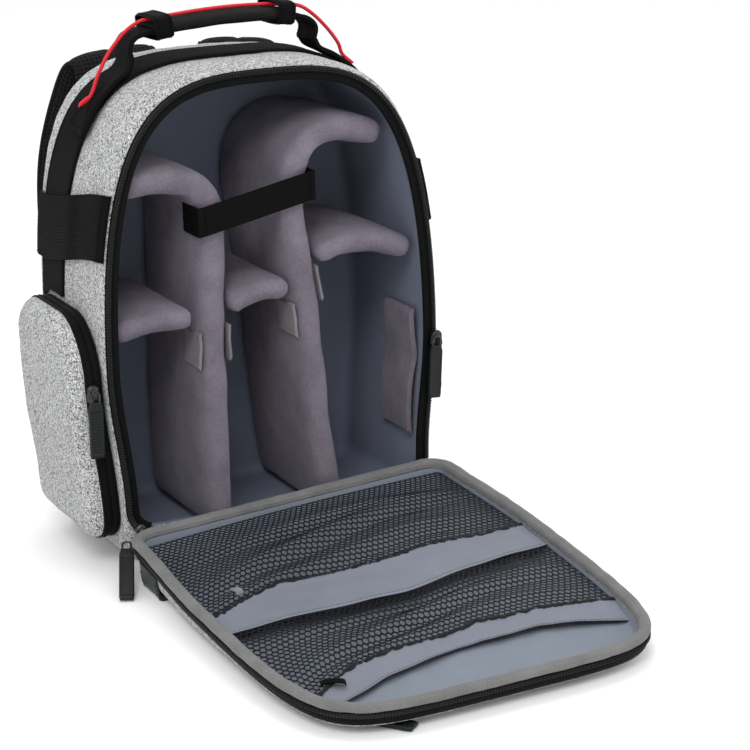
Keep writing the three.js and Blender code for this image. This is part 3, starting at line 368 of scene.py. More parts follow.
# Painted shade: the colour is darker in the grooves between the ribs and lighter on their tops.
level_shade = n.times(n.times(worn_and_painted_shade, n.spread(ribbed, 0.0, 1.0, 0.4, 1.2)), 0.0048)
dress(n, shader, n.tint(level_shade, (0.98, 1, 1)),
      n.spread(ribbed, 0.0, 1.0, 0.9, 0.62), ribbed, 0.0004, 0.8)

grip_cloth = dark_cloth("grip_cloth", 0.009, 0.0014, 1.0, sheen=0.01, rough=(0.85, 0.6), depth=0.0005)

air_mesh, n, shader, cloth, place = finish("air_mesh", Sheen_Weight=0.02, Specular_IOR_Level=0.11)
holes = n.add("ShaderNodeTexVoronoi", {"Vector": cloth, "Scale": 330.0, "Randomness": 0.15}, feature="F1",
    voronoi_dimensions="2D").outputs[0]
rim = n.spread(holes, 0.15, 0.5)
worn_and_painted_shade = wear_and_painted_shade_level(n, place, 0.5)
# Painted shade: the holes are coloured darker than the yarn round them.
level_shade = n.times(n.times(worn_and_painted_shade, n.spread(rim, 0.0, 1.0, 0.25, 1.1)), 0.010)
dress(n, shader, n.tint(level_shade, (1, 1, 1)), 0.9, rim, 0.0006, 0.9)

# %% [markdown]
# The lining is a smooth slate-blue cloth with a weave too fine to see and a faint silky sheen. The hems of the net
# pockets are cut from the same cloth on its shiny side, so they are lighter. Both take a little painted shade, a slow
# change of level that stands in for the light and shade of a thin cloth that is not quite flat.

# %% Lining and hems
def silky(name, colour, sheen, rough, pitch=0.00045):
    material, n, shader, cloth, place = finish(name, Sheen_Weight=sheen, Sheen_Roughness=0.35, Specular_IOR_Level=0.25)
    woven = use(n, weave, Cloth=cloth, Pitch=pitch, Stretch=1.2)
    # Painted shade: a slow change of level for the light and shade of a cloth that is not quite flat.
    worn_and_painted_shade = wear_and_painted_shade_level(n, place, 0.28)
    level = n.plus(worn_and_painted_shade, n.times(n.minus(woven["Crossing"], 0.5), 0.12))
    dress(n, shader, n.tint(level, colour), n.spread(woven["Height"], 0.0, 1.0, rough + 0.12, rough), woven["Height"],
        0.00012, 0.4)
    return material

lining_cloth = silky("lining_cloth", (0.172, 0.192, 0.255), 0.06, 0.62)
lid_lining_cloth = silky("lid_lining_cloth", (0.170, 0.195, 0.235), 0.08, 0.55)
hem_cloth = silky("hem_cloth", (0.160, 0.175, 0.212), 0.08, 0.5)

# %% [markdown]
# The dividers wear a mauve-grey fleece that the hook tabs grip, the tabs are stiff grey felt, and the panel's edge is
# bound in a grey velour. All three are a pile, with different sizes of tuft. Sheen brightens them where the light
# skims past, which is most of what makes a brushed cloth look soft.

# %% Fleece, felt and velour
def brushed(name, colour, size, contrast, sheen, depth):
    material, n, shader, _, place = finish(name, Sheen_Weight=sheen, Sheen_Roughness=0.45, Specular_IOR_Level=0.15)
    shader.inputs["Sheen Tint"].default_value = (0.9, 0.88, 0.95, 1)
    soft = use(n, pile, Place=place, Size=size)
    # Painted shade and sheen from the pile, lighter on raised tufts and in patches where the pile leans.
    level = n.plus(1.0, n.times(soft["Shade"], contrast))
    dress(n, shader, n.tint(level, colour), 0.95, soft["Height"], depth, 0.6)
    return material

fleece = brushed("fleece", (0.158, 0.139, 0.174), 1.0, 0.8, 0.14, 0.0008)
felt = brushed("hook_felt", (0.185, 0.175, 0.188), 1.6, 0.6, 0.1, 0.0006)
velour = brushed("velour", (0.150, 0.147, 0.146), 1.2, 0.7, 0.14, 0.0005)

# %% [markdown]
# Leathercloth has a pressed grain under a thin glossy skin, so its roughness falls on the raised cells. The pullers
# are moulded rubber and the sliders dark metal that is rubbed brighter in patches. The cord is a bright round braid.

# %% Leathercloth, rubber, metal, nylon and cord
leathercloth, n, shader, cloth, place = finish("leathercloth", Specular_IOR_Level=0.3, Coat_Weight=0.12,
    Coat_Roughness=0.35)
pressed = use(n, grain, Place=place, Cell=0.0011)["Height"]
worn_and_painted_shade = wear_and_painted_shade_level(n, place, 0.5)
# Painted shade: the colour is darker in the hollows of the grain and lighter on the raised cells.
level_shade = n.times(worn_and_painted_shade, n.spread(pressed, 0.0, 1.4, 0.6, 1.1))
dress(n, shader, n.tint(level_shade, (0.006, 0.0135, 0.013)), n.spread(pressed, 0.0, 1.4, 0.62, 0.36), pressed,
    0.0003, 0.6)

rubber, n, shader, cloth, place = finish("puller_rubber", Specular_IOR_Level=0.25)
level_shade = wear_and_painted_shade_level(n, place, 0.7)
dress(n, shader, n.tint(level_shade, (0.007, 0.0095, 0.009)),
    n.spread(n.noise(place, 900.0, 2.0), 0.3, 0.7, 0.42, 0.6), n.noise(place, 2400.0, 2.0), 0.00008, 0.5)

metal, n, shader, cloth, place = finish("slider_metal", Metallic=0.85)
rubbed = n.plus(n.noise(place, 420.0, 4.0, 0.6), use(n, wear_and_painted_shade, Place=place, Amount=0.5)["Shade"])
dress(n, shader, n.colour(n.spread(rubbed, 0.4, 0.8), grey(0.04, 0.02), grey(0.075, 0.03)),
    n.spread(rubbed, 0.3, 0.75, 0.4, 0.3), rubbed, 0.00002, 0.2)

nylon, n, shader, cloth, place = finish("moulded_nylon", Specular_IOR_Level=0.25)
level_shade = n.times(wear_and_painted_shade_level(n, place, 0.8), 0.0065)
dress(n, shader, n.tint(level_shade, (1, 1, 1)), n.spread(n.noise(place, 300.0, 3.0), 0.3, 0.7, 0.38, 0.52),
    n.noise(place, 1500.0, 3.0), 0.0001, 0.4)

braid, n, shader, cloth, place = finish("red_braid", Sheen_Weight=0.05, Specular_IOR_Level=0.35)
woven = use(n, weave, Cloth=cloth, Pitch=0.0009, Stretch=1.4)
# Painted shade: the colour is darker between the threads, where they sink under each other.
level_shade = n.plus(n.spread(woven["Height"], 0.0, 1.0, 0.55, 1.05), n.times(n.minus(woven["Crossing"], 0.5), 0.2))
dress(n, shader, n.tint(level_shade, (0.72, 0.006, 0.022)), 0.5, woven["Height"], 0.0003, 0.6)

net_yarn, n, shader, cloth, place = finish("net_yarn", Sheen_Weight=0.01, Specular_IOR_Level=0.2)
worn_and_painted_shade = wear_and_painted_shade_level(n, place, 0.7)
level_shade = n.times(worn_and_painted_shade, n.spread(n.noise(place, 1800.0, 2.0), 0.3, 0.7, 0.7, 1.2))
dress(n, shader, n.tint(level_shade, (0.0065, 0.0065, 0.009)), 0.6, n.noise(place, 2500.0, 2.0), 0.0001, 0.5)

sweep_paint, n, shader, cloth, place = finish("sweep_paint", Specular_IOR_Level=0.1)
dress(n, shader, n.colour(n.spread(n.noise(place, 3.0, 2.0), 0.3, 0.7), grey(0.925), grey(0.935)), 0.95)
floor_mesh.materials.append(sweep_paint)
print("finishes:", len(bpy.data.materials))

# %% [markdown]
# Now the shapes. Everything is written in millimetres and turned into metres once, when a mesh is made. A piece of
# cloth is a grid of points, so most pieces are one or two grids sewn together at their edges. Each grid also gets its
# own lengths as texture coordinates, in metres, so that a thread is as wide on a strap as on a wall.

# %% Grids of points become pieces
def unit(vectors):
    return vectors / np.maximum(np.linalg.norm(vectors, axis=-1, keepdims=True), 1e-9)

def clamp(t):
    return np.clip(t, 0.0, 1.0)

def ease(t):
    return clamp(t) ** 2 * (3 - 2 * clamp(t))

def mix(a, b, t):
    return a + (b - a) * t

def bell(t, wide):
    """A bell curve, one at zero and nearly nothing at twice its width."""
    return np.exp(-((t / wide) ** 2))

def signed(t, power):
    """A power that keeps its number's sign, to square off a circle."""
    return np.sign(t) * np.abs(t) ** power

def closed(rows):
    """Rows of points with the first one again at the end."""
    return np.concatenate([rows, rows[:1]])

def circle(count, wide, high=None):
    a = np.linspace(0, 2 * math.pi, count, endpoint=False)
    return np.stack([np.cos(a) * wide, np.sin(a) * (wide if high is None else high)], -1)

def alike(direction, path):
    """One direction for every point of a path."""
    return np.broadcast_to(np.asarray(direction, float), path.shape)

def from_edge(distance, wide):
    """How far inside a strip's nearer edge a distance across it is."""
    return np.minimum(distance, wide - distance)

class Maker:
    """Collects grids, caps and copies in millimetres, then makes one mesh of them."""

    def __init__(self):
        self.points, self.faces, self.cloth, self.count = [], [], [], 0

    def lay(self, points, faces, cloth):
        self.points.append(np.asarray(points, float).reshape(-1, 3))
        self.faces += (np.asarray(faces) + self.count).tolist()
        self.cloth += np.asarray(cloth, float).reshape(-1, 2).tolist()
        self.count += len(self.points[-1])

    def grid(self, rows, round_it=False, flip=False, turned=False):
        """Rows of points. round_it closes each row. turned swaps the cloth's two directions."""
        rows = np.asarray(rows, float)
        high, wide = rows.shape[:2]
        ring = np.concatenate([rows, rows[:, :1]], 1) if round_it else rows
        steps = lambda axis: np.linalg.norm(np.diff(ring, axis=axis), axis=-1)
        u = np.concatenate([np.zeros((high, 1)), np.cumsum(steps(1), 1)], 1)
        u -= u[:, [ring.shape[1] // 2]]
        v = np.concatenate([np.zeros((1, ring.shape[1])), np.cumsum(steps(0), 0)], 0)
        r, c = np.meshgrid(np.arange(high - 1), np.arange(ring.shape[1] - 1), indexing="ij")
        corners = [(r, c), (r, c + 1), (r + 1, c + 1), (r + 1, c)][:: -1 if flip else 1]
        faces = np.stack([i * wide + j % wide for i, j in corners], -1).reshape(-1, 4)
        uv = np.stack([np.stack([v[i, j], u[i, j]] if turned else [u[i, j], v[i, j]], -1) for i, j in corners], -2)
        self.lay(rows, faces, uv.reshape(-1, 2) * 0.001)

    def cap(self, ring, flip=False):
        ring = np.asarray(ring, float)
        size = len(ring)
        i = np.arange(size)
        faces = np.stack([i, (i + 1) % size, np.full(size, size)][:: -1 if flip else 1], -1)
        points = np.concatenate([ring, ring.mean(0, keepdims=True)])
        keep = np.argsort(np.ptp(ring, axis=0))[1:]
        self.lay(points, faces, points[faces.ravel()][:, np.sort(keep)] * 0.001)

    def tube(self, rings, **how):
        """Rings with a cap at both ends."""
        self.grid(rings, round_it=True, **how)
        self.cap(rings[0], flip=True)
        self.cap(rings[-1])

    def sweep(self, path, across_it, off_it, profile, loop=False, turned=False):
        """A profile of (across, off) points carried along a path. loop joins the path's end to its start."""
        path, profile = np.asarray(path, float), np.asarray(profile, float)
        if profile.ndim == 2:
            profile = np.repeat(profile[None], len(path), 0)
        rows = path[:, None] + across_it[:, None] * profile[..., :1] + off_it[:, None] * profile[..., 1:]
        if loop:
            self.grid(closed(rows), round_it=True, turned=turned)
        else:
            self.tube(rows, turned=turned)

    def copies(self, shape, faces, centres, x_axis, y_axis, z_axis):
        """Copies of one small shape, each with its own axes."""
        shape = np.asarray(shape)
        axes = enumerate([x_axis, y_axis, z_axis])
        made = centres[:, None] + sum(shape[None, :, k, None] * axis[:, None] for k, axis in axes)
        for points in made:
            for size in sorted({len(f) for f in faces}):
                some = np.array([f for f in faces if len(f) == size])
                self.faces += (some + self.count).tolist()
                self.cloth += shape[some.ravel()][:, :2].tolist()
            self.points.append(points)
            self.count += len(points)

    def piece(self, name, material, slot, replaces=(), sew=0.004, sharp=40.0):
        mesh = bpy.data.meshes.new(name)
        mesh.from_pydata((np.concatenate(self.points) * 0.001).tolist(), [], self.faces)
        mesh.uv_layers.new(name="cloth").data.foreach_set("uv", np.array(self.cloth).ravel().tolist())
        if sew:
            shape = bmesh.new()
            shape.from_mesh(mesh)
            bmesh.ops.remove_doubles(shape, verts=shape.verts, dist=sew * 0.001)
            bmesh.ops.recalc_face_normals(shape, faces=shape.faces)
            shape.to_mesh(mesh)
            shape.free()
        return show(name, mesh, material, replaces, sharp)

def show(name, mesh, material, replaces=(), sharp=40.0):
    """Puts a mesh in the scene as a piece of the bag, with a finish and the CAD nodes it stands for."""
    thing = bpy.data.objects.new(name, mesh)
    bpy.context.scene.collection.objects.link(thing)
    mesh.materials.clear()
    for one in material if isinstance(material, (list, tuple)) else [material]:
        mesh.materials.append(one)
    mesh.shade_smooth()
    mesh.set_sharp_from_angle(angle=math.radians(sharp))
    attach(thing, "root")
    if replaces:
        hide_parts(*([replaces] if isinstance(replaces, str) else replaces))
    return thing

def straight_cloth(thing, least=0.0):
    """Lays the cloth along the two nearest axes, face by face, where rings drawn to a middle would make it swirl."""
    mesh, cloth = thing.data, thing.data.uv_layers["cloth"].data
    for face in mesh.polygons:
        facing = max(range(3), key=lambda k: abs(face.normal[k]))
        if least and abs(face.normal.y) < least:
            continue
        a, b = ((1, 2), (0, 2), (0, 1))[facing]
        for loop in face.loop_indices:
            place = mesh.vertices[mesh.loops[loop].vertex_index].co
            cloth[loop].uv = (place[a], place[b])
    return thing

# %% [markdown]
# A few helpers that many pieces share: an even walk along a path, a smooth curve through points, a gentle unevenness
# that is the same on each run, and the small shape that serves as a stitch and as a zip tooth.

# %% Paths, unevenness, stitches
def walk(path, step=None, count=None):
    """Points spaced evenly along a path, and their directions."""
    path = np.asarray(path, float)
    length = np.concatenate([[0], np.cumsum(np.linalg.norm(np.diff(path, axis=0), axis=1))])
    count = count or max(2, int(round(length[-1] / step)) + 1)
    at = np.linspace(0, length[-1], count)
    points = np.stack([np.interp(at, length, path[:, k]) for k in range(path.shape[1])], -1)
    return points, unit(np.gradient(points, axis=0))

def through(points, count):
    """A centripetal Catmull-Rom curve through points."""
    p = np.asarray(points, float)
    p = np.concatenate([[2 * p[0] - p[1]], p, [2 * p[-1] - p[-2]]])
    made = []
    for k in range(1, len(p) - 2):
        apart = np.maximum(np.linalg.norm(np.diff(p[k - 1 : k + 3], axis=0), axis=1), 1e-6)
        knots = np.concatenate([[0], np.cumsum(apart**0.5)])
        t = np.linspace(knots[1], knots[2], 16, endpoint=False)[:, None]
        blend = lambda a, b, i, j: a * (knots[j] - t) / (knots[j] - knots[i]) + b * (t - knots[i]) / (knots[j] - knots[i])
        one, two, three = blend(p[k - 1], p[k], 0, 1), blend(p[k], p[k + 1], 1, 2), blend(p[k + 1], p[k + 2], 2, 3)
        made.append(blend(blend(one, two, 0, 2), blend(two, three, 1, 3), 1, 2))
    made.append(p[-2:-1])
    return walk(np.concatenate(made), count=count)[0]

def uneven(points, size, seed=0):
    """Gentle unevenness from -1 to 1 that changes over about that many millimetres."""
    points = np.asarray(points, float)
    rng = np.random.default_rng(seed)
    total = np.zeros(points.shape[:-1])
    for _ in range(7):
        direction = unit(rng.normal(size=3)) * 2 * math.pi / (size * rng.uniform(0.6, 1.7))
        total += np.sin(points @ direction + rng.uniform(0, 6.28))
    return total / 4.2

def bar(long, wide, high, sides=6):
    """A small bar with blunt ends, along X."""
    shape, faces = [], []
    rings = [(-0.5, 0.45), (-0.38, 1.0), (0.38, 1.0), (0.5, 0.45)]
    for x, grow in rings:
        for k in range(sides):
            t = 2 * math.pi * (k + 0.5) / sides
            shape.append((x * long, math.cos(t) * wide / 2 * grow, math.sin(t) * high / 2 * grow))
    for r in range(len(rings) - 1):
        here, above = r * sides, (r + 1) * sides
        faces += [(here + k, here + (k + 1) % sides, above + (k + 1) % sides, above + k) for k in range(sides)]
    faces += [tuple(range(sides))[::-1], tuple(range((len(rings) - 1) * sides, len(rings) * sides))]
    return np.array(shape), faces

stitch_shape, stitch_faces = bar(2.5, 0.55, 0.5, 4)

def sew(maker, path, off_it, pitch=3.4):
    """A row of stitches along a path. off_it is the cloth's outward direction, one for all or one a point."""
    path = np.asarray(path, float)
    off_it = np.broadcast_to(np.asarray(off_it, float), path.shape)
    both, _ = walk(np.concatenate([path, off_it * 1e-3], 1), step=pitch)
    points, up = both[:, :3], unit(both[:, 3:])
    along = unit(np.gradient(points, axis=0))
    maker.copies(stitch_shape, stitch_faces, points, along, unit(np.cross(up, along)), up)

# %% [markdown]
# The body's wall is the shape that most pieces lie on, so it is worth a function of its own. A section of the body has
# a flat floor, round lower corners, sides that widen upwards and a shoulder that turns over to the crown. A place from
# 0 to 36 runs once round it from the middle of the floor, and the section's sizes change smoothly from the opening
# to the back. Anything sewn to the body asks for a point at a place, a depth and a lift.

# %% The body's wall
front, back, crown_place = -64.0, 64.0, 18.0
wall_inside = 9.9  # from the outer cloth to the lining's face

def bezier(a, b, c, d, t):
    return (1 - t) ** 3 * a + 3 * (1 - t) ** 2 * t * b + 3 * (1 - t) * t**2 * c + t**3 * d

def outline(place, foot, wide, low, widest, crown, corner, square, steep):
    """x and height at places round an upright outline."""
    place = np.asarray(place, float) % 36
    hand = np.where(place > 18, -1.0, 1.0)
    p = np.where(place > 18, 36 - place, place)
    turn = (np.clip(p, 1, 4) - 1) / 3 * math.pi / 2
    t, s = (np.clip(p, 4, 8) - 4) / 4, (np.clip(p, 8, 18) - 8) / 10
    rise, over = widest - low - corner, crown - widest
    side_x, crown_x = bezier(foot, foot, wide, wide, t), bezier(wide, wide, square * wide, 0 * wide, s)
    side_z = bezier(low + corner, low + corner + rise / 3, widest - rise / 3, widest, t)
    crown_z = bezier(widest, widest + steep * over, crown, crown, s)
    parts = [p < 1, p < 4, p < 8]
    x = np.select(parts, [(foot - corner) * p, foot - corner + corner * np.sin(turn), side_x], crown_x)
    z = np.select(parts, [low + 0 * p, low + corner - corner * np.cos(turn), side_z], crown_z)
    return x * hand, z

def smooth_through(xs, ys, x):
    """A curve through points that never overshoots them."""
    xs, ys = np.asarray(xs, float), np.asarray(ys, float)
    h, d = np.diff(xs), np.diff(ys) / np.diff(xs)
    a, b = d[:-1], d[1:]
    inner = np.where(a * b > 0, 2 * a * b / np.where(a + b == 0, 1, a + b), 0)
    m = np.concatenate([[d[0]], inner, [d[-1]]])
    k = np.clip(np.searchsorted(xs, x) - 1, 0, len(h) - 1)
    t = clamp((x - xs[k]) / h[k])
    return ((1 + 2 * t) * (1 - t) ** 2 * ys[k] + t * (1 - t) ** 2 * h[k] * m[k]
            + t**2 * (3 - 2 * t) * ys[k + 1] + t**2 * (t - 1) * h[k] * m[k + 1])

depths = front + 128 * np.array([0, 0.04, 0.16, 0.5, 0.88, 0.96, 1])
sizes = {  # shares, front to back
    "lift": [1, 0.5, 0, 0, 0, 0.12, 0.35], "foot": [0.995, 1.01, 1.02, 1.02, 1.02, 0.99, 0.94],
    "wide": [0.985, 0.996, 1.004, 1.007, 1.004, 0.98, 0.935], "rise": [0.991, 0.997, 1, 1, 1, 0.993, 0.974],
    "square": [0.52, 0.56, 0.58, 0.62, 0.69, 0.70, 0.70],
}

def section(place, y):
    at = {k: smooth_through(depths, v, y) for k, v in sizes.items()}
    return outline(place, at["foot"] * 116, at["wide"] * 125, 1.8 + at["lift"] * 21.2, 139.0, at["rise"] * 334, 22.0,
        at["square"], 0.99)

def outward(place, y):
    """The wall's outward direction in its section."""
    (x0, z0), (x1, z1) = section(place - 0.04, y), section(place + 0.04, y)
    n = unit(np.stack([z1 - z0, x0 - x1], -1))
    return n[..., 0], n[..., 1]

def wall(place, y, lift=0.0):
    place, y, lift = np.broadcast_arrays(np.asarray(place, float), np.asarray(y, float), np.asarray(lift, float))
    x, z = section(place, y)
    nx, nz = outward(place, y)
    return np.stack([x + nx * lift, y, z + nz * lift], -1)

def find(measure, low, high, wanted):
    """The place where a rising measure reaches what is wanted, by halving."""
    low, high = (np.full(np.shape(wanted), end, float) for end in (low, high))
    for _ in range(26):
        middle = (low + high) / 2
        below = measure(middle) < wanted
        low, high = np.where(below, middle, low), np.where(below, high, middle)
    return (low + high) / 2

def at_height(y, z):
    y, z = np.broadcast_arrays(np.asarray(y, float), np.asarray(z, float))
    return find(lambda p: section(p, y)[1], 1.0, 18.0, z)

def at_across(y, x):
    y, x = np.broadcast_arrays(np.asarray(y, float), np.asarray(x, float))
    p = find(lambda q: -section(q, y)[0], 8.0, 18.0, -np.abs(x))
    return np.where(x < 0, 36 - p, p)

def hem(distance, thick, soft=0.9):
    """How thick a cloth with folded edges is at a distance from its edge."""
    d = clamp(distance / soft)
    return thick * np.sqrt(np.maximum(1 - (1 - d) ** 2, 0.0))

def cloth_columns(width, folds=(0, 0.25, 0.6, 1.1, 2.0), between=8):
    """Offsets across a strip, closer together at its edges."""
    inner = np.linspace(folds[-1], width - folds[-1], between)[1:-1]
    return np.concatenate([folds, inner, [width - f for f in reversed(folds)]])

# %% [markdown]
# The shell is foam between two cloths. Its outside is one grid of rings from the opening to the back, with a small
# radius at the front edge where the cloth turns into the opening. A slow unevenness of half a millimetre takes away
# the machined look that a lofted form has.

# %% Body shell
rows = np.concatenate([[-64, -63.9, -63.5, -62.9, -62.2, -61.2, -59.5], np.linspace(-57, 50, 36),
                       [52.5, 55, 57, 58.8, 60.4, 61.8, 62.8, 63.5, 63.9, 64]])
places = np.arange(0, 36, 0.1)
grid_places, grid_rows = np.meshgrid(places, rows)

def edge_drop(distance, radius):
    d = np.clip(distance, 0, radius)
    return radius - np.sqrt(radius**2 - (radius - d) ** 2)

base = wall(grid_places, grid_rows)
soft = 0.45 * uneven(base, 55, 3) + 0.22 * uneven(base, 17, 4)
from_front, from_back = grid_rows - front, back - grid_rows
soft = soft * clamp(from_front / 8) * clamp(from_back / 8)
sink = -0.45 - edge_drop(from_front, 2.2) - edge_drop(from_back, 3.0) + soft
shell = Maker()
outer = wall(grid_places, grid_rows, sink)
shell.grid(outer, round_it=True, turned=True)
front_rings = np.stack([wall(places, front, -d) * [1, 0, 1] + [0, front, 0] for d in (2.65, 5.5, 8.0)])
inner_rows = np.linspace(front + 1, back - 8, 9)
inner = np.stack([wall(places, y, -8.0) for y in inner_rows])
shell.grid(np.concatenate([outer[:1], front_rings, inner]), round_it=True, flip=True)
shell.cap(inner[-1])
back_rings = [outer[-1]] + [wall(places, back - 0.01, -d) * [1, 0, 1] + [0, back, 0] for d in (6, 10, 16, 24)]
shell.grid(np.stack(back_rings), round_it=True)
shell.cap(back_rings[-1])
body = shell.piece("body_shell_cloth", heather, "heather", "body_shell")
straight_cloth(body, least=0.75)
print("body shell:", len(body.data.polygons), "faces")

# %% [markdown]
# A tray of thin cloth lines the shell. Its sides turn into the back with a soft corner, and the back wall is a set of
# rings drawn to its middle. The lining is never quite tight, so it gets wide shallow waves, halved and turned only
# inwards.

# %% Lining
rows = np.concatenate([[-63.7, -62.8, -61.5, -60], np.linspace(-57, 46, 28)])
places = np.arange(0, 36, 0.15)
grid_places, grid_rows = np.meshgrid(places, rows)
base = wall(grid_places, grid_rows)
waves = 0.55 * uneven(base, 70, 11) + 0.3 * uneven(base, 24, 12)
lining_sides = wall(grid_places, grid_rows, -wall_inside + 0.35 + np.minimum(0, waves * 0.5 - 0.1))
corner_rings = []
for k in range(1, 7):
    bend = k / 6 * math.pi / 2
    ring = wall(places, 46.0, -wall_inside - 8 * (1 - math.cos(bend)))
    ring[:, 1] = 46.4 + 8 * math.sin(bend)
    corner_rings.append(ring)
lining_back = 54.4
back_rings = []
for draw in (0.06, 0.14, 0.25, 0.38, 0.52, 0.67, 0.82, 0.94):
    ring = mix(corner_rings[-1], np.array([0, lining_back, 165.0]), draw)
    ring[:, 1] = lining_back - 0.35 - 0.35 * uneven(ring, 60, 13)
    back_rings.append(ring)
inside = np.concatenate([lining_sides, np.stack(corner_rings), np.stack(back_rings)])
cloth_out = np.stack([wall(places, y, -8.5) for y in (-63.7, -60, -30, 0, 30, 52, 55.4)])
lining = Maker()
lining.grid(inside, round_it=True, turned=True)
lining.cap(inside[-1])
lining.grid(np.concatenate([inside[:1], cloth_out]), round_it=True)
lining.cap(cloth_out[-1])
lining.piece("lining_cloth", lining_cloth, "lining_cloth", "lining")

# %% [markdown]
# The dark stripe runs from one side pocket over the crown to the other. It is a strip of cloth with its edges folded
# under, so it is a grid whose thickness falls to nothing at the edges, with more columns there. A strip like this is
# made by one helper, because the straps use it too.

# %% A strip of cloth, and the stripe
def strip(maker, top, under, turned=False):
    """A thin closed strip from two grids that share their edges."""
    maker.grid(top, turned=turned)
    maker.grid(under, flip=True, turned=turned)
    for a, b, flip in ((top[:, 0], under[:, 0], True), (top[:, -1], under[:, -1], False),
                       (top[0], under[0], False), (top[-1], under[-1], True)):
        maker.grid(np.stack([a, b]), flip=flip)

pockets = {
    "left": dict(hand=-1, front=4, rear=114, bottom=24, top=176, arch=40, band=11, bulge=22),
    "right": dict(hand=1, front=26, rear=114, bottom=26, top=174, arch=40, band=6.5, bulge=12),
}
rear_shoulder, pocket_foot = 26.0, 16.0

def pocket_top(y, pocket):
    near = np.maximum(0, pocket["arch"] - (y - front - pocket["front"]))
    far = np.maximum(0, rear_shoulder - (front + pocket["rear"] - y))
    return (pocket["top"] - (pocket["arch"] - np.sqrt(np.maximum(0, pocket["arch"] ** 2 - near**2)))
            - (rear_shoulder - np.sqrt(np.maximum(0, rear_shoulder**2 - far**2))))

def stripe_edges(place):
    side = ease(np.abs(place - crown_place) / 10)
    return front + mix(46, 66, side), front + mix(88, 108, side)

stripe_wide = 42.0
stripe_end = float(at_height(front + 85, 177.0))
stripe_places = np.linspace(stripe_end, 36 - stripe_end, 190)
columns = cloth_columns(stripe_wide, (0, 0.2, 0.5, 1.0, 1.9))
near_edge, far_edge = stripe_edges(stripe_places)
stripe_y = near_edge[:, None] + (far_edge - near_edge)[:, None] * columns / stripe_wide
stripe_place = np.repeat(stripe_places[:, None], len(columns), 1)
for end, pocket, side in ((0, "right", 1), (-1, "left", -1)):
    foot = at_height(stripe_y[end], pocket_top(stripe_y[end], pockets[pocket]) + 3.4)
    foot = foot if side > 0 else 36 - foot
    reach = clamp(1 - np.arange(len(stripe_places)) / 14)[::side][:, None]
    stripe_place = stripe_place + (foot - stripe_place[end]) * reach
base = wall(stripe_place, stripe_y)
pucker = 0.16 * uneven(base, 11, 21) + 0.2 * uneven(base, 45, 22)
stripe = Maker()
edge = from_edge(columns, stripe_wide)
strip(stripe, wall(stripe_place, stripe_y, 0.35 + hem(edge, 1.25) + pucker * hem(edge, 1, 4)),
    wall(stripe_place, stripe_y, 0.05))
for edge, step in ((near_edge, 3.2), (far_edge, -3.2)):
    line = wall(stripe_places[4:-4], edge[4:-4] + step, 1.6)
    sew(stripe, line, line - wall(stripe_places[4:-4], edge[4:-4] + step, 0.4), 3.3)
stripe.piece("gusset_stripe_cloth", stripe_cloth, "black_cloth", "gusset_stripe")

# %% [markdown]
# A wide webbing crosses each side over the stripe. Its ribs are real: the strip has a small ridge every two
# millimetres, and the material adds the finer bars between them and a painted shade in the grooves of its own ribs.

# %% Side straps
strap_wide = 43

def strap_height(y):
    """The height of a side strap's middle line."""
    return 236 - 14 * ease((y + 62.5) / 116.5 * 1.15)

def side_strap(hand):
    columns = np.concatenate([[0, 0.3], np.linspace(0.8, 42.2, 112), [42.7, strap_wide]])
    rows = np.concatenate([np.linspace(-63.6, 44, 90), np.linspace(45, 54, 8)])
    y, across_it = np.meshgrid(rows, columns, indexing="ij")
    place = at_height(y, strap_height(y) + across_it - strap_wide / 2)
    raised = np.minimum(ease((y + 26) / 17), ease((49 - y) / 5))
    lift = 0.45 + 0.25 + 1.85 * raised
    rib = 0.32 * np.abs(np.sin(across_it / 2.05 * math.pi)) ** 0.7
    slack = 0.12 * uneven(wall(place, y), 30, 31)
    edge = from_edge(across_it, strap_wide)
    top = wall(place, y, lift + hem(edge, 1.35, 0.6) + rib * clamp(edge) + slack)
    under = wall(place, y, lift - 0.25)
    side = np.array([hand, 1, 1])
    strap = Maker()
    strip(strap, top * side, under * side)
    for y0 in (-58.5, 49.5):
        for z in (1.6, 41.4):
            ends = np.linspace(y0 - 3, y0 + 3, 6)
            high = strap_height(ends) + z - strap_wide / 2
            line = wall(at_height(ends, high), ends, 2.6) * side
            sew(strap, line, [hand, 0, 0.15], 2.8)
        high = strap_height(y0) + np.linspace(-20, 20, 24)
        line = wall(at_height(y0, high), y0, 2.55 + (0.2 if y0 > 0 else 0)) * side
        sew(strap, line, [hand, 0, 0.15], 3.0)
    name = "left" if hand < 0 else "right"
    return strap.piece(f"side_strap_{name}_webbing", webbing, "webbing", f"side_strap_{name}")

for hand in (-1, 1):
    side_strap(hand)

# %% [markdown]
# The zip's tape frames the opening, and its coil stands on the tape's outer edge. Teeth are worth modelling: at this
# distance they are what tells a zip from a ribbon. One blunt bar is copied along the coil every two millimetres.

# %% Main zip
mouth_places = np.linspace(1.6, 34.4, 420)

def mouth(inset, y):
    return wall(mouth_places, front, -np.asarray(inset, float)) * [1, 0, 1] + [0, 1, 0] * np.asarray(y)

tape = Maker()
profile = [(0.55, -64.35), (0.62, -65.0), (0.95, -65.45), (1.6, -65.55), (4.4, -65.6), (6.4, -65.75), (8.0, -65.7),
           (9.1, -65.35), (9.75, -64.6), (9.85, -63.7), (9.3, -63.6), (8.6, -64.3), (4, -64.3)]
tape.tube(np.stack([mouth(d, y) for d, y in profile], 1))
sew(tape, mouth(6.0, -65.85), [0, -1, 0], 3.0)
tape.piece("zip_tape_cloth", tape_cloth, "black_cloth", "zip_tape")

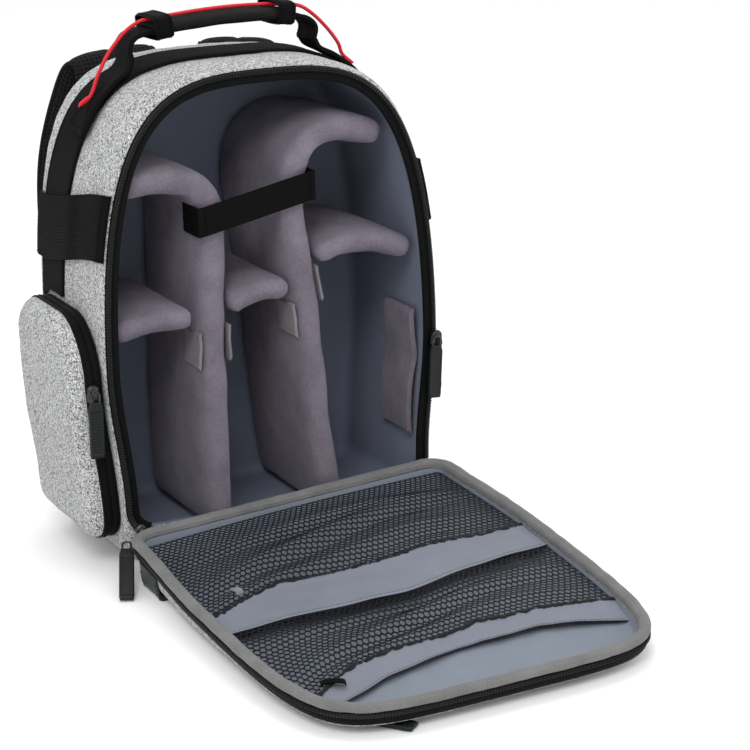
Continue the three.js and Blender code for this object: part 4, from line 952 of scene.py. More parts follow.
tooth_pitch = 1.95
tooth_shape, tooth_faces = bar(3.3, 1.25, 1.9, 6)
coil = Maker()
line, along = walk(mouth(2.6, -66.85), step=tooth_pitch)
inward = unit(np.cross(along, [0, 1.0, 0]))
coil.copies(tooth_shape, tooth_faces, line, inward, along, np.cross(inward, along))
cord_path, cord_along = walk(mouth(2.6, -66.2), step=3.0)
cord_in = unit(np.cross(cord_along, [0, 1.0, 0]))
coil_core = [(1.5, 0), (1.1, 0.5), (-1.1, 0.5), (-1.5, 0), (-1.1, -0.3), (1.1, -0.3)]
coil.sweep(cord_path, cord_in, np.cross(cord_in, cord_along), coil_core)
coil.piece("zip_coil_teeth", nylon, "black_cloth", "zip_coil", sew=0)

# %% [markdown]
# A side pocket is a domed face of heather cloth on an upright zip band. Its outline has four round corners, each of
# its own radius. The dome rises fast from the band and is nearly flat in the middle, as a pocket with foam in it is.

# %% Side pockets
def pocket_outline(pocket, margin, count=200):
    y0, y1 = front + pocket["front"], front + pocket["rear"]
    low, high, arch = pocket["bottom"], pocket["top"], pocket["arch"]
    corners = [(y1 - pocket_foot, low + pocket_foot, pocket_foot, -90),
               (y1 - rear_shoulder, high - rear_shoulder, rear_shoulder, 0),
               (y0 + arch, high - arch, arch, 90), (y0 + pocket_foot, low + pocket_foot, pocket_foot, 180)]
    points = []
    for cy, cz, radius, start in corners:
        a = np.radians(start + np.linspace(0, 90, 24))
        points.append(np.stack([cy + (radius - margin) * np.cos(a), cz + (radius - margin) * np.sin(a)], -1))
    points = np.concatenate(points + [points[0][:1]])
    return walk(points, count=count + 1)[0][:-1]

def pocket_ring(pocket, margin, lift, draw=0.0, count=200):
    middle = np.array([front + (pocket["front"] + pocket["rear"]) / 2, (pocket["bottom"] + pocket["top"]) / 2])
    at = mix(pocket_outline(pocket, margin, count), middle, draw)
    place = at_height(at[:, 0], at[:, 1])
    base = wall(place, at[:, 0])
    nx, nz = outward(place, at[:, 0])
    way = unit(np.stack([mix(nx, 1, 0.7), mix(nz, 0, 0.7)], -1))
    lift = np.broadcast_to(lift, nx.shape)
    return np.stack([(base[:, 0] + way[:, 0] * lift) * pocket["hand"], base[:, 1], base[:, 2] + way[:, 1] * lift], -1)

def side_pocket(side):
    pocket = pockets[side]
    low, high = pocket["band"] + 0.6, pocket["bulge"]
    face = Maker()
    rings = []
    for t in np.concatenate([[0, 0.02, 0.05, 0.1, 0.16], np.linspace(0.24, 1, 9)]):
        rings.append(pocket_ring(pocket, 15 * t, mix(low, high, 0.97 * (1 - (1 - t) ** 3.2) ** 0.62)))
    for draw in (0.1, 0.22, 0.36, 0.5, 0.64, 0.78, 0.9):
        rings.append(pocket_ring(pocket, 15, high + (0.03 * (high - low)) * draw, draw))
    rings = np.stack(rings)
    fade = clamp(np.arange(len(rings)) / 6)[:, None]
    rings[..., 0] += pocket["hand"] * fade * (0.8 * uneven(rings, 48, 41) + 0.25 * uneven(rings, 15, 42) - 0.5)
    turned_in = ((2.5, 0.0), (5.5, 0.5), (8.5, 0.8))
    inner = np.stack([pocket_ring(pocket, margin, mix(low, high, share) - 2.2) for margin, share in turned_in])
    face.grid(rings, round_it=True)
    face.cap(rings[-1])
    face.grid(np.concatenate([rings[:1], inner]), round_it=True, flip=True)
    face.cap(inner[-1])
    cover = face.piece(f"pocket_face_{side}_cloth", heather, "heather", f"pocket_face_{side}")
    straight_cloth(cover)

    band = Maker()
    height = pocket["band"]
    shape = [(0.02, 0.0), (0.06, -0.35), (0.2, -0.65), (0.36, -0.7), (0.42, -0.45), (0.46, 0.1), (0.5, 0.35),
             (0.54, 0.1), (0.58, -0.45), (0.64, -0.7), (0.82, -0.75), (0.93, -0.5), (1.0, 0.1), (1.0, 1.5),
             (0.5, 1.6), (0.04, 1.5)]
    rings = np.stack([pocket_ring(pocket, margin, 0.3 + (height - 0.3) * share) for share, margin in shape], 1)
    band.grid(closed(rings), round_it=True)
    outside = pocket_ring(pocket, -2.0, height * 0.5)
    for share, margin in ((0.26, -0.85), (0.76, -0.9)):
        line = pocket_ring(pocket, margin, 0.3 + (height - 0.3) * share)
        sew(band, closed(line), closed(outside - line) * [0.0, 1, 1], 3.0)
    piping = pocket_ring(pocket, -0.1, height + 0.35)
    path, along = walk(closed(piping), step=2.2)
    side_way = unit(np.cross(along, [pocket["hand"], 0, 0.0]))
    band.sweep(path[:-1], side_way[:-1], unit(np.cross(side_way, along))[:-1], circle(8, 0.95), loop=True)
    band.piece(f"pocket_zip_{side}_band", tape_cloth, "black_cloth", f"pocket_zip_{side}")

for side in pockets:
    side_pocket(side)

# %% [markdown]
# The carrying handle is one length of webbing. Its ends lie flat on the stripe, turn up into two short legs and meet
# in a grip with a padded sleeve. Its two edges follow their own curves, because each end has to lie on a wall that
# falls away to the front.

# %% Handle webbing
handle_y = front + 66
over_stripe = 0.45 + 0.3 + 1.2
web_lift = over_stripe + 1.5 + 0.7

def wall_top(x, lift, y):
    return wall(at_across(y, x), y, lift)

def handle_edge(y, count=150):
    foot = lambda x, extra=0.0: wall_top(x, web_lift + extra, y).tolist()
    high = lambda x: foot(x)[2]
    left_leg = [(-74.5, high(-74) + 2.7), (-72.5, high(-72) + 8), (-73.5, 343), (-69, 349.5)]
    arch = [(-59, 352.5), (-35, 355.5), (-5, 357.5), (25, 357.5), (48, 355.5), (58, 352.5)]
    right_leg = [(63, 346), (61, 338), (61.5, high(62) + 7), (65, high(66) + 2.4)]
    points = [foot(-106), foot(-94), foot(-82, 0.5)] + [[x, y, z] for x, z in left_leg + arch + right_leg]
    return through(points + [foot(74, 0.4), foot(84), foot(93), foot(101)], count)

web_wide = 27.0
columns = cloth_columns(web_wide, (0, 0.2, 0.5, 0.9, 1.5), 14)
edges = handle_edge(handle_y - web_wide / 2), handle_edge(handle_y + web_wide / 2)
line = mix(edges[0][:, None], edges[1][:, None], (columns / web_wide)[None, :, None])
along = unit(np.gradient((edges[0] + edges[1]) / 2, axis=0))
off = np.stack([-along[:, 2], 0 * along[:, 0], along[:, 0]], -1)[:, None]
edge = from_edge(columns, web_wide)
thick = hem(edge, 1.5, 0.8)[None, :, None]
ridge = (0.16 * np.abs(np.sin(columns / 1.9 * math.pi)) * clamp(edge))[None, :, None]
crease = 0.25 * uneven(line, 12, 51)[..., None]
web = Maker()
strip(web, line + off * (thick + ridge + crease), line - off * (thick + ridge - crease))
for x0, x1 in ((-104, -80), (76, 99)):
    xs = np.linspace(x0, x1, 12)
    for y in (handle_y - 11.5, handle_y + 11.5):
        sew(web, wall_top(xs, web_lift + 1.65, y), [0.0, 0, 1], 3.2)
    for x in (x0, x1):
        ys = np.linspace(handle_y - 11.5, handle_y + 11.5, 10)
        sew(web, wall_top(x + 0 * ys, web_lift + 1.65, ys), [0.0, 0, 1], 2.9)
    xs = np.linspace(x0, x1, 14)
    for slope in (-1, 1):
        sew(web, wall_top(xs, web_lift + 1.68, handle_y + slope * np.linspace(-11, 11, 14)), [0.0, 0, 1], 3.2)
web.piece("handle_webbing", webbing, "webbing", "handle_web")

# %% [markdown]
# The grip is a sleeve round the webbing, pinched at both ends. Two keepers hold a red cord on top of it. The cord is
# sewn down at both feet, so it is not a free cord, and it takes the slack of the handle in two wide arcs.

# %% Grip, keepers and cord
handle_line = (edges[0] + edges[1]) / 2
upper = handle_line[handle_line[:, 2] > 350]
upper_way = unit(np.gradient(upper, axis=0))

def on_handle(x):
    """The handle's middle and its upward direction at a distance across."""
    x = np.asarray(x, float)
    p = np.stack([x, np.full_like(x, handle_y), np.interp(x, upper[:, 0], upper[:, 2])], -1)
    t = np.stack([np.interp(x, upper[:, 0], upper_way[:, k]) for k in range(3)], -1)
    return p, unit(np.stack([-t[..., 2], 0 * x, t[..., 0]], -1))

def loop_profile(wide, above, below, round_it, count=28, power=3.2):
    a = np.linspace(0, 2 * math.pi, count, endpoint=False)
    c, s = np.cos(a), np.sin(a)
    y = signed(c, 2 / power) * wide / 2
    z = signed(s, 2 / round_it)
    return np.stack([y, np.where(z > 0, z * above, z * below)], -1)

grip = Maker()
stations = np.concatenate([[-55.5, -55.2, -54.3, -52.5, -50], np.linspace(-47, 39, 40), [42, 44.5, 46.3, 47.2, 47.5]])
p, up_way = on_handle(stations)
pinch = 1 - 0.26 * np.exp(-(np.minimum(stations + 55.5, 47.5 - stations) / 4.0))
sleeve_rows, hole_rows = [], []
hole = loop_profile(28, 2.2, 2.2, 3.5, 40)

def lay_ring(at, ring, up_here):
    """A section of the handle as points, from its distances along Y and upwards."""
    return at + np.outer(ring[:, 0], [0, 1, 0]) + np.outer(ring[:, 1], up_here)

for k, x in enumerate(stations):
    ring = loop_profile(33 * (0.35 + 0.65 * pinch[k]), 4.5 * pinch[k], 4.5 * pinch[k], 2.4, 40)
    sleeve_rows.append(lay_ring(p[k], ring * [1, 1 + 0.03 * math.sin(x * 0.21)], up_way[k]))
    hole_rows.append(lay_ring(p[k], hole, up_way[k]))
grip.grid(np.stack(sleeve_rows), round_it=True, turned=True)
grip.grid(np.stack([hole_rows[0], sleeve_rows[0]]), round_it=True)
grip.grid(np.stack([sleeve_rows[-1], hole_rows[-1]]), round_it=True)
grip.grid(np.stack(hole_rows), round_it=True, flip=True)
under_seam, seam_up = on_handle(np.linspace(-50, 42, 40))
for y in (-15.2, 15.2):
    sew(grip, under_seam + [0, y, 0] - seam_up * 1.6, [0, 1.0 if y > 0 else -1.0, 0], 3.4)
sleeve_piece = grip.piece("handle_grip_sleeve", grip_cloth, "webbing", "handle_grip")

for number, x in enumerate((-50, 39), 1):
    keeper = Maker()
    rows_out, rows_in = [], []
    for step in np.linspace(-6.2, 6.2, 9):
        at, up_here = on_handle(x + step)
        lip = 0.5 * abs(step / 6.2) ** 6
        for rows_made, grow in ((rows_out, 1.6 - lip), (rows_in, 0.25)):
            ring = loop_profile(33.6 + 2 * grow, 8.2 + grow, 5.0 + grow, 5.0, 40, 5.0)
            rows_made.append(lay_ring(at, ring, up_here))
    keeper.grid(np.stack(rows_out + rows_in[::-1] + rows_out[:1]), round_it=True)
    for step in (-4.4, 4.4):
        at, up_here = on_handle(x + step)
        ring = loop_profile(33.6 + 3.5, 8.2 + 1.75, 5.0 + 1.75, 5.0, 60, 5.0)
        line = lay_ring(at, ring, up_here)
        sew(keeper, line, line - at, 2.6)
    keeper.piece(f"cord_keeper_{number}_loop", webbing, "puller", f"cord_keeper_{number}")

def over_grip(x, extra=0.0):
    at, up_here = on_handle(np.array(float(x)))
    return (at + up_here * (6.2 + extra)).tolist()

cord_radius = 1.3
cord_foot = lambda x, lift: wall_top(x, web_lift + 1.5 + 0.3 + cord_radius + 0.3 + lift, handle_y).tolist()
in_air = lambda points: [[x, handle_y, z] for x, z in points]
cord_points = [cord_foot(-94, 0), cord_foot(-98, 2.5)] + in_air([(-98.5, 312), (-91, 328), (-81, 343), (-69, 354.5)])
cord_points += [over_grip(-58, 0.4)] + [over_grip(x) for x in (-50, -40, -20, 0, 20, 33, 44)]
cord_points += in_air([(57, 360.5), (67, 354), (78, 343), (86, 332), (88.5, 325)])
cord_points += [cord_foot(90, 1.5), cord_foot(85, 0)]
path = through(cord_points, 200)
way = unit(np.gradient(path, axis=0))
y_axis = alike([0, 1, 0], path)
cord = Maker()
cord.sweep(path, y_axis, np.cross(way, y_axis), circle(12, cord_radius))
cord.piece("handle_cord_braid", braid, "cord", "handle_cord")

# %% [markdown]
# The dividers are sheets of foam in fleece, bent to a path and stood on edge. Each starts as a closed form along its
# path, a little smaller than its place. A short cloth simulation with some pressure then swells it, as foam swells its
# cover, and each point is kept within a few millimetres of where it began. That gives the soft edges and the small
# creases at the bends that no profile would.

# %% Padded dividers
divider_y = front + 6, back - 8 - 0.3 - 1.6 - 0.6

def lining_side(y, z):
    """How far out the lining's face is at a height."""
    return section(at_height(y, z), y)[0] - wall_inside - 0.6

def divider_form(path_points, thick, count):
    path = through([(x, 0, z) for x, z in path_points], count)
    way = unit(np.gradient(path, axis=0))
    off = np.stack([-way[:, 2], 0 * way[:, 0], way[:, 0]], -1)
    long = np.linalg.norm(np.diff(path, axis=0), axis=1).sum()
    ends = from_edge(np.arange(count), count - 1) / (count - 1) * long
    half = thick / 2 * (0.55 + 0.45 * np.sqrt(1 - (1 - clamp(ends / 7)) ** 2))
    angle = np.linspace(0, 2 * math.pi, 44, endpoint=False)
    c, s = np.cos(angle), np.sin(angle)
    deep = (divider_y[1] - divider_y[0]) / 2
    y = (divider_y[0] + divider_y[1]) / 2 + signed(c, 0.16) * deep
    rows = []
    for k in range(count):
        ring = path[k] + (signed(s, 0.5) * half[k])[:, None] * off[k]
        ring[:, 1] = y
        rows.append(ring)
    rows = np.stack(rows)
    low = rows[..., 2] < 100
    ground = section(0.0, rows[..., 1])[1] + wall_inside + 0.8
    rows[..., 2] = np.where(low, mix(ground, 100, np.maximum(0, (rows[..., 2] - 38) / 62)), rows[..., 2])
    reach, edge = lining_side(rows[..., 1], rows[..., 2]), lining_side(divider_y[0], rows[..., 2])
    x = rows[..., 0]
    rows[..., 0] = np.where(np.abs(x) > edge - 12, np.sign(x) * np.minimum(np.abs(x) * reach / edge, reach), x)
    return rows

def swell(thing, pressure, cap, frames=16, voxel=0.0045):
    """Remeshes a closed piece, swells it with Blender's cloth and keeps each point within cap metres."""
    remesh = thing.modifiers.new("voxels", "REMESH")
    remesh.mode, remesh.voxel_size = "VOXEL", voxel
    view = bpy.context.view_layer
    view.objects.active = thing
    with bpy.context.temp_override(object=thing, active_object=thing, selected_objects=[thing]):
        bpy.ops.object.modifier_apply(modifier=remesh.name)
    start = np.array([v.co for v in thing.data.vertices])
    scene = bpy.context.scene
    scene.frame_set(1)
    cloth_modifier = thing.modifiers.new("cloth", "CLOTH")
    settings = cloth_modifier.settings
    settings.use_pressure, settings.uniform_pressure_force = True, pressure
    settings.effector_weights.gravity = 0
    settings.tension_stiffness = settings.compression_stiffness = 25
    settings.bending_stiffness = 2.0
    settings.quality = 6
    cloth_modifier.point_cache.frame_end = frames
    for frame_number in range(1, frames + 1):
        scene.frame_set(frame_number)
    moved = thing.evaluated_get(bpy.context.evaluated_depsgraph_get()).data
    end = np.array([v.co for v in moved.vertices])
    thing.modifiers.remove(cloth_modifier)
    scene.frame_set(1)
    step = end - start
    size = np.linalg.norm(step, axis=1, keepdims=True)
    thing.data.vertices.foreach_set("co", (start + step * np.minimum(1, cap / np.maximum(size, 1e-9))).ravel())
    thing.data.update()
    print(thing.name, "swelled by up to", round(float(min(size.max(), cap)) * 1000, 1), "mm")

def refine(thing, levels=1):
    """One subdivision, applied to the mesh itself."""
    fine = thing.modifiers.new("finer", "SUBSURF")
    fine.levels = fine.render_levels = levels
    bpy.context.view_layer.objects.active = thing
    with bpy.context.temp_override(object=thing, active_object=thing, selected_objects=[thing]):
        bpy.ops.object.modifier_apply(modifier=fine.name)
    thing.data.shade_smooth()

dividers = {  # middle line across and up, thickness, rings
    "divider_tall_left": ([(-103, 257), (-82, 261), (-62, 261), (-48, 256), (-40, 244), (-39, 220),
                           (-40, 180), (-41, 140), (-42, 90), (-43, 38)], 18, 64),
    "divider_tall_right": ([(88, 274), (72, 281), (54, 284), (36, 279), (25, 266), (21, 245),
                            (24, 205), (29, 165), (33, 120), (38, 75), (45, 38)], 18, 68),
    "divider_short_left": ([(-113, 163), (-95, 166), (-76, 168), (-56, 166)], 16, 18),
    "divider_short_middle": ([(-28.4, 171), (-14, 177), (2, 179), (15.6, 176)], 16, 16),
    "divider_short_right": ([(37, 196), (52, 202), (70, 204), (88, 201), (109, 193)], 16, 22),
}
for number, (name, (points, thick, count)) in enumerate(dividers.items()):
    rows = divider_form(points, thick, count)
    rows[..., 0] += 0.35 * uneven(rows, 26, 60 + number)
    rows[..., 2] += 0.35 * uneven(rows, 26, 70 + number)
    form = Maker()
    form.tube(rows)
    pad = form.piece(f"{name}_pad", fleece, "fleece", name)
    swell(pad, 3.0, 0.0016)
    refine(pad)

# %% [markdown]
# Small felt tabs hold the dividers' ends to their neighbours, another is stuck to the left wall, and a spare flap of
# fleece hangs on the right one. A strap crosses the camera's bay. All of them are strips with their own slight curl.

# %% Hook tabs, flap and hold-down strap
tab_size = 26.0

def seed_of(text):
    """A number for a name, the same on each run."""
    return sum(ord(c) * (k + 3) for k, c in enumerate(text)) % 97

def tab(name, x0, z0, x1, z1, hand):
    down, deep = np.meshgrid(np.linspace(0, 1, 16), cloth_columns(tab_size, (0, 0.2, 0.6, 1.2), 10), indexing="ij")
    y = divider_y[0] + 3 + deep
    curl = 0.8 * down**3 + 0.3 * uneven(np.stack([down * tab_size, deep, 0 * deep], -1), 14, seed_of(name))
    near = np.stack([mix(x0, x1, down) + hand * (0.3 + curl), y, mix(z0, z1, down)], -1)
    ends = hem(from_edge(down * tab_size, tab_size), 1.9, 0.7)
    thick = np.minimum(hem(from_edge(deep, tab_size), 1.9, 0.7), ends + 0.05)
    made = Maker()
    strip(made, near + np.stack([hand * thick, 0 * y, 0 * y], -1), near)
    across_it = np.linspace(1.5, tab_size - 1.5, 10)
    level = 0 * across_it
    sew(made, np.stack([mix(x0, x1, 0.06) + hand * 2.6 + level, divider_y[0] + 3 + across_it, z0 - 1.6 + level], -1),
        [hand, 0, 0.0], 2.8)
    made.piece(f"{name}_felt", felt, "felt", name)

tab_places = [(-50.1, 156, -50.8, 130, -1), (-31, 160, -31.6, 134, 1),
              (19.0, 167, 21.7, 142, -1), (35.2, 192, 38.6, 166, 1)]
for k, at in enumerate(tab_places, 1):
    tab(f"hook_tab_{k}", *at)

def wall_sheet(name, hand, z0, z1, y0, y1, thick, wave, material, slot):
    high, deep = np.meshgrid(np.linspace(0, z1 - z0, 34), cloth_columns(y1 - y0, (0, 0.3, 0.9, 1.8), 14), indexing="ij")
    y, z = y0 + deep, z0 + high
    edge = np.minimum(from_edge(deep, y1 - y0), from_edge(high, z1 - z0))
    waves = wave * np.abs(np.sin(high / (z1 - z0) * 5)) + 0.3 * uneven(np.stack([deep, y, z], -1), 18, 80)
    off = lining_side(y, z) + 0.6 - 1.1 - waves
    near = np.stack([hand * off, y, z], -1)
    inner = near - np.stack([hand * hem(edge, thick, 1.6), 0 * y, 0 * y], -1)
    made = Maker()
    strip(made, inner, near)
    made.piece(name + "_cloth", material, slot, name)

wall_sheet("wall_tab", -1, 218, 245, divider_y[0] + 3, divider_y[0] + 29, 2.0, 0, felt, "felt")
wall_sheet("wall_flap", 1, 58, 150, divider_y[0] + 3, divider_y[0] + 46, 3.5, 3, fleece, "fleece")

strap_points = [(-50.2, 26), (-50.6, 6), (-50.4, -0.2), (-47, -1), (-30, -1), (-15, -1.2), (0, -1.2), (12, -1),
                (29, -0.9), (34.4, -0.1), (35.2, 6), (35.2, 16), (35, 26)]
path = through([(x, y, 0) for x, y in strap_points], 90)
way = unit(np.gradient(path, axis=0))
off = np.stack([way[:, 1], -way[:, 0], 0 * way[:, 0]], -1)
hold_wide = 20.0
columns = cloth_columns(hold_wide, (0, 0.2, 0.5, 0.9), 14)
base = np.repeat(path[:, None] + np.array([0, divider_y[0] - 1.1, 0]), len(columns), 1)
base[..., 2] = mix(232, 248, clamp((base[..., 0] + 50) / 81)) + columns - hold_wide / 2

def thin_web(columns, wide, thick):
    """Half the thickness of a narrow ribbed webbing, column by column."""
    return (hem(from_edge(columns, wide), thick, 0.7) + 0.12 * np.abs(np.sin(columns / 1.7 * math.pi)))[None, :, None]

thick = thin_web(columns, hold_wide, 0.75)
sag = 0.5 * uneven(base, 30, 91)[..., None] * off[:, None] * clamp((30 - np.abs(path[:, 0] + 8)) / 12)[:, None, None]
hold = Maker()
strip(hold, base + off[:, None] * thick + sag, base - off[:, None] * thick + sag)
for x in (-46.5, 30.5):
    zs = mix(232, 248, (x + 50) / 81) + np.linspace(-8, 8, 8)
    sew(hold, np.stack([x + 0 * zs, divider_y[0] - 3.25 + 0 * zs, zs], -1), [0, -1.0, 0], 2.8)
hold.piece("hold_strap_webbing", webbing, "webbing", "hold_strap")

# %% [markdown]
# The panel lies on the ground as a shallow tray. Its outline is the body's own kind of section, laid down: across, and
# V away from the hinge. The rim is higher at the hinge than at the far end, and higher on the right than on the left,
# as the photograph shows.

# %% The panel's outline and heights
rim_gap = 9.0

def panel_outline(place, margin=0.0):
    shape = dict(foot=121.5, wide=126.0, low=0.0, widest=119.0, crown=300.0, corner=20.0, square=0.96, steep=1.04)
    x, v = outline(place, **shape)
    (x0, v0), (x1, v1) = outline(place - 0.03, **shape), outline(place + 0.03, **shape)
    n = unit(np.stack([v1 - v0, x0 - x1], -1))
    return x - n[..., 0] * margin, v - n[..., 1] * margin

def rim_at(v, x):
    v = np.clip(v, 0, 300)
    return mix(mix(33, 47, clamp(x / 252 + 0.5)), 20, ease(v / 300) * 0.4 + v / 300 * 0.6)

def tray_at(v, x):
    return rim_at(v, x) - mix(19, 11, np.clip(v, 0, 300) / 300)

def band_foot(v, x):
    return np.maximum(rim_at(v, x) - 14, 4.6)

def on_panel(x, v, z):
    x, v, z = np.broadcast_arrays(np.asarray(x, float), np.asarray(v, float), np.asarray(z, float))
    return np.stack([x, front - rim_gap - v, z], -1)

panel_places = np.arange(0, 36, 0.08)

def panel_ring(margin, height, draw=0.0, places=panel_places):
    x, v = panel_outline(places, margin)
    x, v = mix(x, 0, draw), mix(v, 150, draw)
    return on_panel(x, v, height(v, x))

def panel_half(v, margin):
    """Half the panel's width at a distance from the hinge."""
    p = find(lambda q: panel_outline(q, margin)[1], 2.0, 17.9, np.asarray(v, float))
    return panel_outline(p, margin)[0]

# %% [markdown]
# The panel's shell is heather cloth over foam. Its side bulges a little below the zip, then turns under to the flat
# bottom. The tray's own lining has soft waves, like the body's.

# %% Panel shell and lining
shell_bottom = 4.0

def lower(height, drop):
    """A height of the panel, lowered."""
    return lambda v, x: height(v, x) - drop

def between(one, other, share):
    """A height of the panel, a share of the way from one to another."""
    return lambda v, x: mix(one(v, x), other(v, x), share)

under_rim = lower(rim_at, 5.3)
bottom = lambda v, x: shell_bottom + 0 * v
shell = Maker()
side_rows = [(3.8, under_rim), (4.9, between(under_rim, band_foot, 0.5)), (5.9, lower(band_foot, -0.2))]
for share, margin in ((0.15, 5.6), (0.35, 5.7), (0.55, 6.2), (0.75, 7.2), (0.9, 8.8), (1.0, 11.0)):
    side_rows.append((margin, between(band_foot, bottom, share)))
rings = np.stack([panel_ring(m, h) for m, h in side_rows] + [panel_ring(14, bottom, d) for d in (0, 0.2, 0.5, 0.8)])
rings[3:8] += (0.35 * uneven(rings[3:8], 26, 101))[..., None] * [0.6, 0.6, 0]
shell_top = lower(tray_at, 1.5)
top = [panel_ring(8.2, under_rim), panel_ring(9.2, shell_top)] + [panel_ring(9.8, shell_top, d) for d in (0.3, 0.7)]
shell.grid(rings, round_it=True, turned=True)
shell.cap(rings[-1])
shell.grid(np.stack([rings[0], *top]), round_it=True, flip=True)
shell.cap(top[-1])
straight_cloth(shell.piece("lid_shell_cloth", heather, "heather", "lid_shell"))

tray = Maker()
rings = [panel_ring(8.7, lower(rim_at, 4.6))]
for share in np.arange(1, 8) / 7:
    a = share * math.pi / 2
    down = between(lower(rim_at, 5.2), tray_at, mix(0.25 * a, math.sin(a), 0.8))
    rings.append(panel_ring(8.9 + 0.9 * share + 2.6 * (1 - math.cos(a)), down))
for draw in np.linspace(0.04, 0.96, 40):
    rings.append(panel_ring(12.2, tray_at, draw))
rings = np.stack(rings)
calm = clamp((np.arange(len(rings)) - 5) / 6)[:, None]
rings[..., 2] += calm * (0.75 * uneven(rings, 62, 111) + 0.3 * uneven(rings, 22, 112) + 0.35)
below = [panel_ring(8.5, under_rim), panel_ring(9.5, lower(tray_at, 1.1)), panel_ring(9.8, lower(tray_at, 1.1), 0.5)]
tray.grid(rings, round_it=True, flip=True, turned=True)
tray.cap(rings[-1], flip=True)
tray.grid(np.stack([rings[0], *below]), round_it=True)
tray.cap(below[-1])
tray.piece("lid_lining_cloth", lid_lining_cloth, "lining_cloth", "lid_lining")

# %% [markdown]
# A velour binding wraps the rim. It is pulled round a curve by its stitching, so it is never quite even: its width
# and its fold wander by a fraction of a millimetre, and a crease runs along its inner side.

# %% Velour binding
def binding_ring(margin, drop):
    ring = panel_ring(margin, lower(rim_at, drop))
    return ring + (0.28 * uneven(ring, 16, 123) + 0.12 * uneven(ring, 6, 133))[:, None] * [0.4, 0.4, 1.0]

section_points = [(0.35, 3.4), (0.3, 2.2), (0.7, 1.0), (1.6, 0.25), (2.8, -0.1), (4.2, -0.1), (5.2, 0.3), (5.9, 0.75),
                  (6.5, 0.7), (7.2, 1.3), (7.8, 2.6), (8.1, 4.2), (7.6, 5.0), (4.0, 4.9), (1.4, 4.9), (0.6, 4.3)]
binding = Maker()
rings = np.stack([binding_ring(margin, drop) for margin, drop in section_points])
binding.grid(closed(rings), round_it=True, flip=True)
sew(binding, closed(panel_ring(7.75, lower(rim_at, 2.3))), [0, 0, 1.0], 3.2)
binding.piece("lid_binding_velour", velour, "velour", "lid_binding")

# %% [markdown]
# The zip's other half runs round the panel's side: teeth just below the binding, and a smooth rolled tape below them.
# Both stop short of the hinge.

# %% The panel's half of the zip
zip_places = np.linspace(3.0, 33.0, 520)

def side_line(margin, share):
    return panel_ring(margin, between(under_rim, band_foot, share), 0.0, zip_places)

tape = Maker()
rolled = [(3.3, 0.0), (2.3, 0.04), (1.9, 0.2), (1.85, 0.42), (2.1, 0.62), (2.7, 0.8),
          (3.6, 0.93), (4.8, 1.0), (5.6, 1.0), (5.0, 0.9), (4.2, 0.6), (3.5, 0.2)]
tape.tube(np.stack([side_line(margin, share) for margin, share in rolled], 1))
tape.piece("lid_zip_tape_cloth", tape_cloth, "black_cloth", "lid_zip_tape")

line, along = walk(side_line(1.25, 0.21), step=tooth_pitch)
outwards = unit(np.cross(along, [0, 0, 1.0]))
lid_tooth, lid_tooth_faces = bar(2.7, 1.2, 1.6, 6)
coil = Maker()
coil.copies(lid_tooth, lid_tooth_faces, line, unit(np.cross(along, outwards)), along, outwards)
path, along = walk(side_line(1.75, 0.21), step=3.0)
outwards = unit(np.cross(along, [0, 0, 1.0]))
lid_core = [(1.3, 0), (0.9, 0.4), (-0.9, 0.4), (-1.3, 0), (-0.9, -0.3), (0.9, -0.3)]
coil.sweep(path, unit(np.cross(outwards, along)), outwards, lid_core)
coil.piece("lid_zip_coil_teeth", nylon, "black_cloth", "lid_zip_coil", sew=0)

# %% [markdown]
# Two net pockets fill the tray. A photograph of a net on a flat card would lose its depth, so the net here is really
# knotted: a field of six-sided cells, each with a hole, mapped to the pocket's slack shape. The lattice is laid out in
# the cloth's own millimetres first and only then bent, as a real net is cut flat.

# %% The net's lattice
hem_lines = {  # where each hem starts and ends, from left to right
    "hem_1": ([138, 118, 121, 116, 118], [163, 161.5, 166, 154, 149]),
    "hem_2": ([262, 231.5, 227, 221.5, 233], [274, 252, 241, 237.5, 256]),
}
net_under_rim = 6.6

def along_row(values, u):
    """A smooth line through distances from the hinge that are given at even steps from left to right."""
    return smooth_through(np.linspace(0, 1, len(values)), values, u)

def hem_wave(u, seed):
    return 0.8 * np.sin(u * 13 + seed) + 0.5 * np.sin(u * 27 + 2 * seed)

def pocket_v(starts, ends, u, t, wave=(0, 0)):
    begin = along_row(starts, u) + (hem_wave(u, wave[0]) if wave[0] else 0)
    end = along_row(ends, u) + (hem_wave(u, wave[1]) if wave[1] else 0)
    return mix(begin, end, t)

def net_height(u, t, v, x, depth, ridges):
    z = rim_at(v, x) - net_under_rim + depth * np.sin(u * math.pi) * np.sin(mix(0.12, 0.9, t) * math.pi)
    for at, slope, wide, high in ridges:
        top = at + slope * (u - 0.5) + 0.05 * np.sin(u * 7)
        z = z + high * bell(t - top, wide) * np.sin(clamp(u) * math.pi) ** 0.6
    return z

